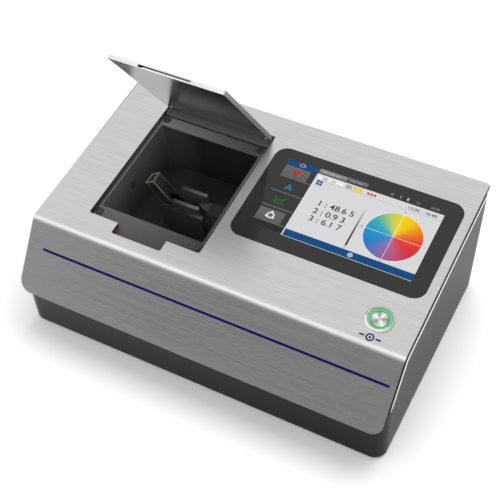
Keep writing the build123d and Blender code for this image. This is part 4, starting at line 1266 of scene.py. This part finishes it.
@dataclass
class SampleChamber:
    """Ledge, well, holder, cuvette and the optics round them.

    The wings are two angle strips that carry the ledge on, beside the hinge rail.
    """

    wing_s: Pair = (160.3, 181.7)  # their ends
    wing_x: float = 57.4  # distance of their outer face from the middle of the opening
    wing_foot: float = 3.1  # width of their foot
    wing_heights: tuple[float, float, float] = (-7.0, -5.5, -1.65)  # underside, top of foot, top of wall
    wing_sheet: float = 0.9  # sheet thickness
    wing_draw: float = 0.15  # length over which an end is drawn in
    middle_x: float = -78.0  # middle of the opening

    def wing(self, side: int) -> bpy.types.Object:
        """An angle section swept along the deck; each end is drawn in and closed about its corner.

        Args:
            side: -1 for the left strip, 1 for the right one.

        Returns:
            The closed mesh.
        """
        low, seat, high = self.wing_heights
        out, wall, foot = self.wing_x, self.wing_x - self.wing_sheet, self.wing_x - self.wing_foot
        outline = np.array([(out, high), (out, low + 0.3), (out - 0.3, low), (foot, low),
                            (foot, seat - 0.15), (foot + 0.15, seat), (wall - 0.4, seat),
                            (wall, seat + 0.4), (wall, high)])
        heart = np.array([out - self.wing_sheet / 2, (low + seat) / 2])
        first, last = self.wing_s
        ends = [(first, 0.0), (first, 0.97), (first + self.wing_draw, 1.0),
                (last - self.wing_draw, 1.0), (last, 0.97), (last, 0.0)]
        x, h = np.stack([heart + (outline - heart) * size for _, size in ends]).transpose(2, 0, 1)
        s = np.broadcast_to(np.array(ends)[:, :1], x.shape)
        rings = np.stack([self.middle_x + side * x, s, h], -1)
        return tube(f"{'left' if side < 0 else 'right'}_ledge_wing", DECK, rings, flip=side > 0)

    def build(self) -> None:
        """Dresses the chamber and the optics."""
        for side in (-1, 1):
            finish_piece(self.wing(side), RAIL_COAT, "body", "grey_powder_coat")
        Cuvette().build()
        PanHeads().build()
        dress(GREY_COAT, "chamber_frame")
        dress(WELL_COAT, "chamber_tray")
        dress(BARREL_BLACK, "lens_barrel")
        dress(BLACK_METAL, "lamp_housing", "spectrometer_housing", "spectrometer_cover", "heat_sink")
        dress(HOLDER_BLACK, "cuvette_holder")
        dress(SATIN_BLACK, "light_nozzle")
        dress(ZINC, "holder_screws", "entrance_slit")
        dress(LENS, "collecting_lens")
        dress(SMOKED, "lamp_window")
        dress(ALUMINIUM, "lamp_led", "optics_posts")
        dress(MIRROR, "concave_grating")


# Colours that the screen uses more than once.
BLUE = (10, 76, 132)
SKY = (190, 208, 226)
ICE = (225, 232, 240)
LEAF = (44, 122, 60)
TEAL = (38, 140, 148)
BRICK = (160, 58, 56)
SIGNAL = (222, 60, 50)
SILVER = (190, 190, 192)
PEWTER = (175, 175, 178)
CHALK = (238, 238, 240)
CREAM = (252, 252, 250)
TEXT = (44, 45, 52)
SCALE = (90, 92, 98)


@dataclass
class Display:
    """Display glass with its picture, and the parts behind it.

    Each row of a table is one call of the drawing method of that name. Colours are 8-bit display values.
    """

    tile: tuple[Colour, Colour] = ((97.166, 96.255, 98.077), (108, 107, 109))  # at its front and rear
    tool_rows: tuple[float, ...] = (131.2, 113.4, 95.6, 78.6)  # s of the lines between the tools
    tiled: tuple[int, ...] = (0, 3)  # which tools have a tile
    dots: Outline = ((36.6, 136.6), (39.6, 136.6), (36.6, 133.6), (39.6, 133.6))
    shapes: Rows = (
        (((12.6, 117.6), (14.6, 117.6), (16.4, 122.6), (16.4, 125.0)), 2, TEAL),
        (((16.4, 125.0), (16.4, 122.6), (18.2, 117.6), (20.2, 117.6)), 2, TEAL))
    boxes: Rows = (
        (2.2, 32.2, 145.9, 151.6, 1, BLUE),
        (2.6, 32.4, 71.4, 77.9, 1, (44, 43, 45)),
        (33.6, 60.6, 147.6, 152.4, 1, (132, 132, 134), (150, 150, 152)),
        (61.0, 80.6, 148.0, 153.0, 1, (96, 96, 98), (118, 118, 120)),
        (37, 42, 149.2, 150.2, 2, SILVER),
        (43, 49, 149.2, 150.2, 2, SILVER),
        (50, 54, 149.2, 150.2, 2, SILVER),
        (64, 69, 149.6, 150.5, 2, PEWTER),
        (70, 76, 149.6, 150.5, 2, PEWTER),
        (33.2, 154.2, 70.2, 146.4, 1, (226, 226, 229)),
        (34.2, 154.0, 139.0, 139.35, 2, (170, 172, 176)),
        (34.4, 61.0, 140.0, 145.2, 2, (196, 206, 220)),
        (34.8, 60.6, 140.4, 144.8, 3, (250, 250, 250)),
        (62.6, 68.4, 140.2, 145.0, 2, (176, 178, 180)),
        (69.8, 78.4, 140.2, 145.0, 2, (240, 206, 74)),
        (72.0, 76.2, 141.6, 143.6, 3, (246, 228, 140)),
        (83.0, 85.4, 141.2, 143.9, 2, SIGNAL),
        (86.2, 88.6, 141.2, 143.9, 2, SIGNAL),
        (89.4, 91.6, 141.2, 143.9, 2, SIGNAL),
        (34.4, 154.2, 70.6, 78.2, 2, BLUE),
        (118.0, 119.6, 148.8, 151.8, 2, (200, 200, 202)),
        (12.6, 17.4, 134.6, 141.0, 2, BRICK),
        (15.2, 20.0, 136.2, 142.0, 3, (174, 74, 70)),
        (14.6, 18.2, 119.4, 120.6, 2, TEAL),
        (93.0, 152.4, 80.0, 136.6, 2, (225, 226, 229)),
        (95.3, 149.7, 106.85, 107.2, 4, CREAM),
        (122.3, 122.65, 79.8, 134.2, 4, CREAM))
    lines: Rows = (
        (15.0, 147.3, 15.0, 149.2, 0.5, 2, SKY),
        (19.4, 147.3, 19.4, 149.2, 0.5, 2, SKY),
        (14.8, 147.4, 19.6, 147.4, 0.5, 2, SKY),
        (14.2, 149.0, 17.2, 151.0, 0.5, 2, SKY),
        (17.2, 151.0, 20.2, 149.0, 0.5, 2, SKY),
        (112.0, 148.8, 112.0, 152.0, 0.7, 2, PEWTER),
        (11.4, 107.8, 11.4, 100.6, 0.9, 2, LEAF),
        (11.0, 100.6, 21.2, 100.6, 0.9, 2, LEAF),
        (12.6, 102.6, 15.0, 105.0, 0.9, 3, LEAF),
        (15.0, 105.0, 17.2, 103.6, 0.9, 3, LEAF),
        (17.2, 103.6, 20.4, 107.2, 0.9, 3, LEAF))
    discs: Rows = (
        (96.8, 74.4, 2.3, 1.5, 3, ICE),
        (96.8, 74.4, 0.9, 0, 3, ICE),
        (104.0, 150.2, 1.2, 0.7, 2, (165, 165, 168), 20),
        (17.8, 139.2, 1.2, 0, 4, BRICK),
        (15.6, 85.8, 3.6, 2.2, 2, CHALK),
        (122.5, 107.0, 26.6, 25.8, 3, (240, 240, 242), 96))
    words: Rows = (
        ("05 - 21", 40.0, 141.1, 2.8, 4, (50, 52, 62), 1.15, 0.012),
        ("12.05 - 16:40", 121.5, 140.8, 3.0, 2, (48, 50, 60), 1.18, 0.014),
        ("1 : 48.6 5", 47.4, 112.6, 6.0, 2, TEXT, 1.08, 0.012),
        ("2 : 0.9 3", 47.4, 103.2, 6.0, 2, TEXT, 1.08, 0.012),
        ("3 : 6.1 7", 47.4, 94.2, 6.0, 2, TEXT, 1.08, 0.012),
        ("0", 88.2, 78.9, 2.0, 2, (90, 90, 95)),
        ("25", 126.5, 148.8, 2.6, 2, (150, 150, 152)),
        ("16:40", 140.0, 148.8, 2.6, 2, (160, 160, 162)),
        ("90", 120.8, 134.6, 1.7, 5, SCALE),
        ("0", 150.4, 106.0, 1.7, 5, SCALE),
        ("270", 120.2, 77.9, 1.7, 5, SCALE),
        ("180", 91.4, 106.0, 1.7, 5, SCALE))

    def tools(self, d: Drawing) -> None:
        """Tiles and lines of the tool column, and the three balls on the ring of its last tool.

        Args:
            d: the drawing.
        """
        front, rear = self.tile
        for number, s in enumerate(self.tool_rows):
            if number in self.tiled:
                d.box(3.0, 27.6, s + 0.6, s + 13.6, 1, front, rear)
            d.box(2.6, 32.4, s - 0.4, s + 0.1, 1, (150, 148, 148))
        for angle in (90, 210, 330):
            c, k = circle(angle)
            d.disc(15.6 + 3.6 * c, 85.8 + 3.6 * k, 1.3, 0, 3, CHALK, 24)

    def picture(self) -> bpy.types.Object:
        """Draws the tables, the tool column, the lightness bar and the hue wheel.

        Returns:
            The picture, 0.24 mm to 0.3 mm above the deck.
        """
        d = Drawing()
        tables = ((d.box, self.boxes), (d.line, self.lines), (d.disc, self.discs), (d.words, self.words),
                  (d.shape, self.shapes))
        for draw, rows in tables:
            for row in rows:
                draw(*row)
        self.tools(d)
        for x, s in self.dots:
            d.box(x, x + 2.5, s, s + 2.5, 2, BLUE)
        for k in range(24):
            d.box(88.2, 89.9, 82.0 + k * 1.9, 83.95 + k * 1.9, 2, (20 + k * 9,) * 3)
        d.wheel(122.5, 107.0, 25.8, 3)
        return d.piece("screen_picture")

    def build(self) -> None:
        """Dresses the display and lays the picture on the glass."""
        dress(GLASS, "display_glass")
        dress(FOAM, "display_gasket")
        dress(ZINC, "display_panel", "display_bracket")
        dress(BOARD, "display_board")
        dress(ALUMINIUM, "display_standoffs")
        finish_piece(self.picture(), SCREEN, "body", "display_glass")


@dataclass
class TestButton:
    """Push button: turned bezel, lit ring, and a spun cap that moves.

    Outlines are (radius, height) points; tones are rows of turned().
    """

    centre: Pair = (145.1, 24.9)
    mark_place: Pair = (144.4, 6.6)
    bezel: Outline = ((9.0, -20), (11.0, -20), (11.0, -0.05), (12.5, -0.05), (12.5, 1.2), (11.2, 2.2),
                      (10.4, 2.0), (10.4, -6), (9.0, -6), (9.0, -20))
    bezel_radii: tuple[float, ...] = (0.05, 0.05, 0.05, 0.5, 0.5, 0.12, 0.05, 0.05)
    ring: Outline = ((7.95, -6), (10.35, -6), (10.35, 1.0), (10.3, 1.35), (10.15, 1.6), (9.9, 1.72),
                     (9.5, 1.76), (9.0, 1.7), (8.6, 1.56), (8.3, 1.35), (8.1, 1.0), (7.95, 0.5), (7.95, -6))
    # Ring tones: the tone column paints shade darker towards the ring's inner edge, and the glow column
    # paints light on its inner wall.
    ring_tones: Rows = ((11.0, -9, 1.12, 1.3, 1.0), (9.6, 0.0, 1.0, 1.1, 1.0), (9.0, 0.0, 0.90, 1.0, 1.0),
                        (8.6, 0.0, 0.86, 1.4, 1.0), (8.3, -9, 0.9, 4.0, 1.0))
    cap: Outline = ((0.0, -12), (2.5, -12), (2.5, -3.5), (7.6, -3.5), (7.6, 1.2), (6.5, 1.9), (5.6, 1.72))
    cap_radii: tuple[float, ...] = (0.1, 0.1, 0.1, 0.4, 0.3)
    dish: Outline = ((4.4, 1.6), (3.2, 1.5), (2.2, 1.44), (1.2, 1.4), (0.0, 1.38))
    # Cap tones tint the steel green towards its rim, a painted reflection of the lit ring, and faintly pink
    # in the middle.
    cap_tones: Rows = ((9.0, -20, 0.60, 1.0, 0.70), (6.75, 1.0, 0.70, 1.0, 0.78),
                       (6.2, 1.0, 0.86, 1.0, 0.90), (4.4, 1.0, 0.95, 1.0, 0.97),
                       (2.3, 1.0, 1.0, 0.93, 0.97))

    def build(self) -> None:
        """Replaces the visible solids by turned surfaces with rounded edges."""
        cap = np.concatenate([rounded(self.cap, self.cap_radii), self.dish])
        finish_piece(turned("bezel_turned", rounded(self.bezel, self.bezel_radii), self.centre), BRIGHT,
                     "body", "mirror_steel", "button_bezel")
        finish_piece(turned("ring_turned", self.ring, self.centre, self.ring_tones), RING,
                     "body", "lit_green", "button_ring")
        finish_piece(turned("cap_turned", cap, self.centre, self.cap_tones), SPUN,
                     "test_button", "brushed_stainless", "button_cap")
        self.mark()
        dress(BLACK_PLASTIC, "button_contacts")
        dress(ZINC, "button_nut")

    def mark(self) -> None:
        """Prints a plain target sign in front of the button: a ring, a dot and a bar on each side."""
        ink = (30, 34, 110)
        d = Drawing(level=0.02, step=0.01)
        x, s = self.mark_place
        d.disc(x, s, 3.7, 2.3, 0, ink)
        d.disc(x, s, 1.1, 0, 0, ink)
        for side in (-1, 1):
            d.line(x + side * 4.9, s, x + side * 9.4, s, 1.6, 0, ink)
        finish_piece(d.piece("button_mark"), MARK_INK, "body", "stripe_blue")


@dataclass
class RearPanel:
    """Sockets and power switch."""

    def build(self) -> None:
        """Dresses the panel."""
        dress(BLACK_METAL, "rear_panel")
        dress(ZINC, "rear_panel_screws", "usb_a_port", "usb_b_port")
        dress(BLACK_PLASTIC, "power_switch_body", "dc_jack", "power_rocker")


@dataclass
class Electronics:
    """Boards on the base plate and beside the grating."""

    def build(self) -> None:
        """Dresses the boards."""
        dress(BOARD, "mainboard", "power_board", "sensor_board")
        dress(ALUMINIUM, "board_standoffs")
        dress(ZINC, "board_screws")


# ---- studio -------------------------------------------------------------------------------


def stand(made: bpy.types.Object, where: Vector, right: Vector, up: Vector, back: Vector) -> None:
    """Places a camera or a lamp, which looks against its back axis."""
    made.matrix_world = Matrix.Translation(where) @ Matrix((right, up, back)).transposed().to_4x4()


@dataclass(frozen=True)
class Camera:
    """Camera in the part's frame."""

    place_mm: tuple[float, float, float] = (297.73, -526.68, 753.55)
    azimuth: float = 28.227  # degrees to the left of +Y
    elevation: float = 50.431  # how steeply it looks down
    roll: float = -1.732  # turn about its own axis
    focal: float = 997.89  # in pixels, as are the next two
    width: float = 500  # of the frame
    centre: Pair = (268.0, 283.0)  # the optical axis in that frame
    sensor: float = 36.0  # millimetres

    def build(self) -> None:
        """forward = (-sin a cos e, cos a cos e, -sin e); right and up are turned by the roll."""
        (ca, sa), (ce, se), (cr, sr) = map(circle, (self.azimuth, self.elevation, self.roll))
        forward = Vector((-sa * ce, ca * ce, -se))
        level = forward.cross(Vector((0, 0, 1))).normalized()
        upright = level.cross(forward)
        data = bpy.data.cameras.new("camera")
        data.sensor_width = self.sensor
        data.lens = self.focal / self.width * self.sensor
        data.shift_x = 0.5 - self.centre[0] / self.width
        data.shift_y = self.centre[1] / self.width - 0.5
        data.clip_end = 20
        made = link("camera", data)
        right, up = level * cr + upright * sr, upright * cr - level * sr
        stand(made, Vector(self.place_mm) * MM, right, up, -forward)
        bpy.context.scene.camera = made


class Direction(Enum):
    """Where a lamp stands, as seen from the object."""

    BEND = (-0.28, -0.44, 0.88)
    KEY = (0.12, 0.36, 0.93)


@dataclass(frozen=True)
class SoftBox:
    """An oblong lamp that faces the object; lengths are in metres."""

    name: str
    source: Direction
    distance: float
    width: float  # along X
    depth: float
    watts: float
    glossy: bool = True  # whether it shows in gloss and metal
    aim: float = 0.08  # height that it looks at

    def build(self) -> None:
        """Stands at distance along the direction, turned to the middle of the object."""
        data = bpy.data.lights.new(self.name, "AREA")
        data.shape = "RECTANGLE"
        data.size = self.width
        data.size_y = self.depth
        data.energy = self.watts
        made = link(self.name, data)
        made.visible_glossy = self.glossy
        away = Vector(self.source.value).normalized()
        side = Vector((0, 1, 0)).cross(away).normalized()
        stand(made, Vector((0, 0, self.aim)) + away * self.distance, side, away.cross(side), away)


@dataclass(frozen=True)
class Card:
    """A dark cloth card of the studio, which shows only in gloss and metal."""

    name: str

    def nap(self, g: Graph) -> Socket:
        """The cloth's nap."""
        return g.noise(60, 2.0, 0.5)

    def hang(self, points: Array, faces: Array, g: Graph) -> None:
        """Makes the card and hides it from all rays but glossy ones.

        Args:
            points: (rows, columns, 3) metres.
            faces: its quads.
            g: its cloth.
        """
        made = raise_mesh(self.name, points.reshape(-1, 3), faces, True)
        made.data.materials.append(g.material)
        made.visible_camera = made.visible_diffuse = made.visible_transmission = made.visible_shadow = False


@dataclass(frozen=True)
class FloorCard(Card):
    """A card flat on the floor beside the housing; lengths are in metres."""

    name: str = "front_floor_card"
    low: float = 0.0  # how solid it is at its left side
    high: float = 0.46  # how solid it is from full on
    left: float = -0.16
    full: float = 0.17  # x from which it no longer changes
    right: float = 0.50
    front: float = -0.50
    rear: float = -0.10
    lift: float = 0.0005  # height above the floor

    def build(self) -> None:
        """A flat grid of (x, y, lift)."""
        x, y = np.meshgrid(np.linspace(self.left, self.right, 9), np.linspace(self.front, self.rear, 9))
        g = Graph(self.name + "_cloth")
        g.matt(g.blend(self.nap(g), (0.008,) * 3, (0.012,) * 3),
               Alpha=g.span(g.place(X), self.left, self.full, self.low, self.high))
        self.hang(np.stack([x, y, np.full_like(x, self.lift)], -1), grid_faces(9, 9, False), g)


@dataclass(frozen=True)
class Flag(Card):
    """A card in front, behind the camera, that gives the apron its grey; lengths are in metres."""

    name: str = "dark_card"
    reach: float = 1.25  # how far in front it stands
    left: float = -1.3
    right: float = 1.5
    low: float = 0.10
    high: float = 1.05
    curve: float = 0.7  # how far its ends come forward
    tone: float = 0.124
    fade: Pair = (0.54, 0.92)  # heights between which it grows lighter towards its upper edge
    pale: float = 3.6  # how much lighter the upper edge is
    ends: Pair = (-1.05, -0.5)  # x between which its left end grows lighter
    lift: float = 2.8  # how much lighter the left end is
    turn: Pair = (-0.45, 0.10)  # x between which its right half grows lighter
    gain: float = 1.17  # how much lighter the right half is

    def build(self) -> None:
        """Grid of (x, -reach + curve (x / right)^2, z); tone x slopes along X x slope along Z."""
        x, z = np.meshgrid(np.linspace(self.left, self.right, 25), np.linspace(self.low, self.high, 9))
        g = Graph("dark_card_cloth")
        across = g.place(X)
        tone = g.times(g.span(g.place(Z), *self.fade, 1, self.pale),
                       g.span(across, *self.ends, self.lift, 1), g.span(across, *self.turn, 1, self.gain),
                       self.tone, g.vary(self.nap(g), 0.93, 1.07))
        g.matt(g.blend(tone, BLACK, WHITE))
        self.hang(np.stack([x, -self.reach + self.curve * (x / self.right) ** 2, z], -1),
                  grid_faces(9, 25, False)[:, ::-1], g)


@dataclass
class Studio:
    """Floor, surroundings, lamps and camera."""

    floor_size: float = 6.0
    floor_tone: float = 0.85
    floor_glow: float = 0.06
    dome_lean: tuple[float, float, float] = (0.15, 0.25, 0.90)
    dome_low: float = 0.46
    dome_high: float = 0.98

    def floor(self) -> None:
        """A pale floor that shows white to the camera apart from the shadow."""
        half = self.floor_size / 2
        made = raise_mesh("floor", [(-half, -half, 0), (half, -half, 0), (half, half, 0), (-half, half, 0)],
                          [range(4)])
        g = Graph("floor_white")
        dark, pale = ((self.floor_tone + change,) * 3 for change in (-0.01, 0.01))
        g.matt(g.blend(g.noise(0.6, 2.0, 0.5), dark, pale))
        glow = g.either(g.seen(), g.light("Emission", 0.0), g.light("Emission", self.floor_glow))
        g.feed(g.output.inputs["Surface"], g.out("AddShader", 0, {0: g.shader.outputs[0], 1: glow}))
        made.data.materials.append(g.material)

    def sky(self) -> None:
        """White to camera, glossy and see-through rays; to the rest a soft dome, dimmer low in front."""
        world = bpy.data.worlds.new("studio")
        world.use_nodes = True
        bpy.context.scene.world = world
        g = Tree(world.node_tree)
        lean = g.out("VectorMath", "Value", {0: g.out("TexCoord", "Generated"), 1: self.dome_lean},
                     operation="DOT_PRODUCT")
        dome = g.light("Background", g.span(lean, -1, 1, self.dome_low, self.dome_high))
        g.node("OutputWorld", {"Surface": g.either(g.seen(), dome, g.light("Background", 1.0))})

    def build(self) -> None:
        """Sets the view transform, then builds the stage."""
        bpy.context.scene.view_settings.view_transform = "Standard"
        self.floor()
        self.sky()
        for piece in (SoftBox("bend_box", Direction.BEND, 1.7, 1.7, 0.8, 3.1),
                      SoftBox("key_box", Direction.KEY, 1.7, 1.2, 1.2, 18.0, glossy=False),
                      Flag(), FloorCard(),
                      FloorCard("side_floor_card", 0.42, 0.42, 0.1815, 0.3, 1.0, -0.10, 1.0),
                      FloorCard("left_floor_card", 0.86, 0.86, -0.37, -0.3, -0.1815, -0.10, 0.20),
                      FloorCard("rear_floor_card", 0.80, 0.80, -0.70, -0.5, -0.38, 0.22, 0.80), Camera()):
            piece.build()


def main() -> None:
    """Builds everything."""
    logging.basicConfig(level=logging.INFO, format="%(message)s")
    parts = (Studio(), Chassis(), Lid(), SampleChamber(), Display(), TestButton(), RearPanel(),
             Electronics())
    for part in parts:
        log.info("building %s", type(part).__name__)
        part.build()


if __name__ == "__main__":
    main()
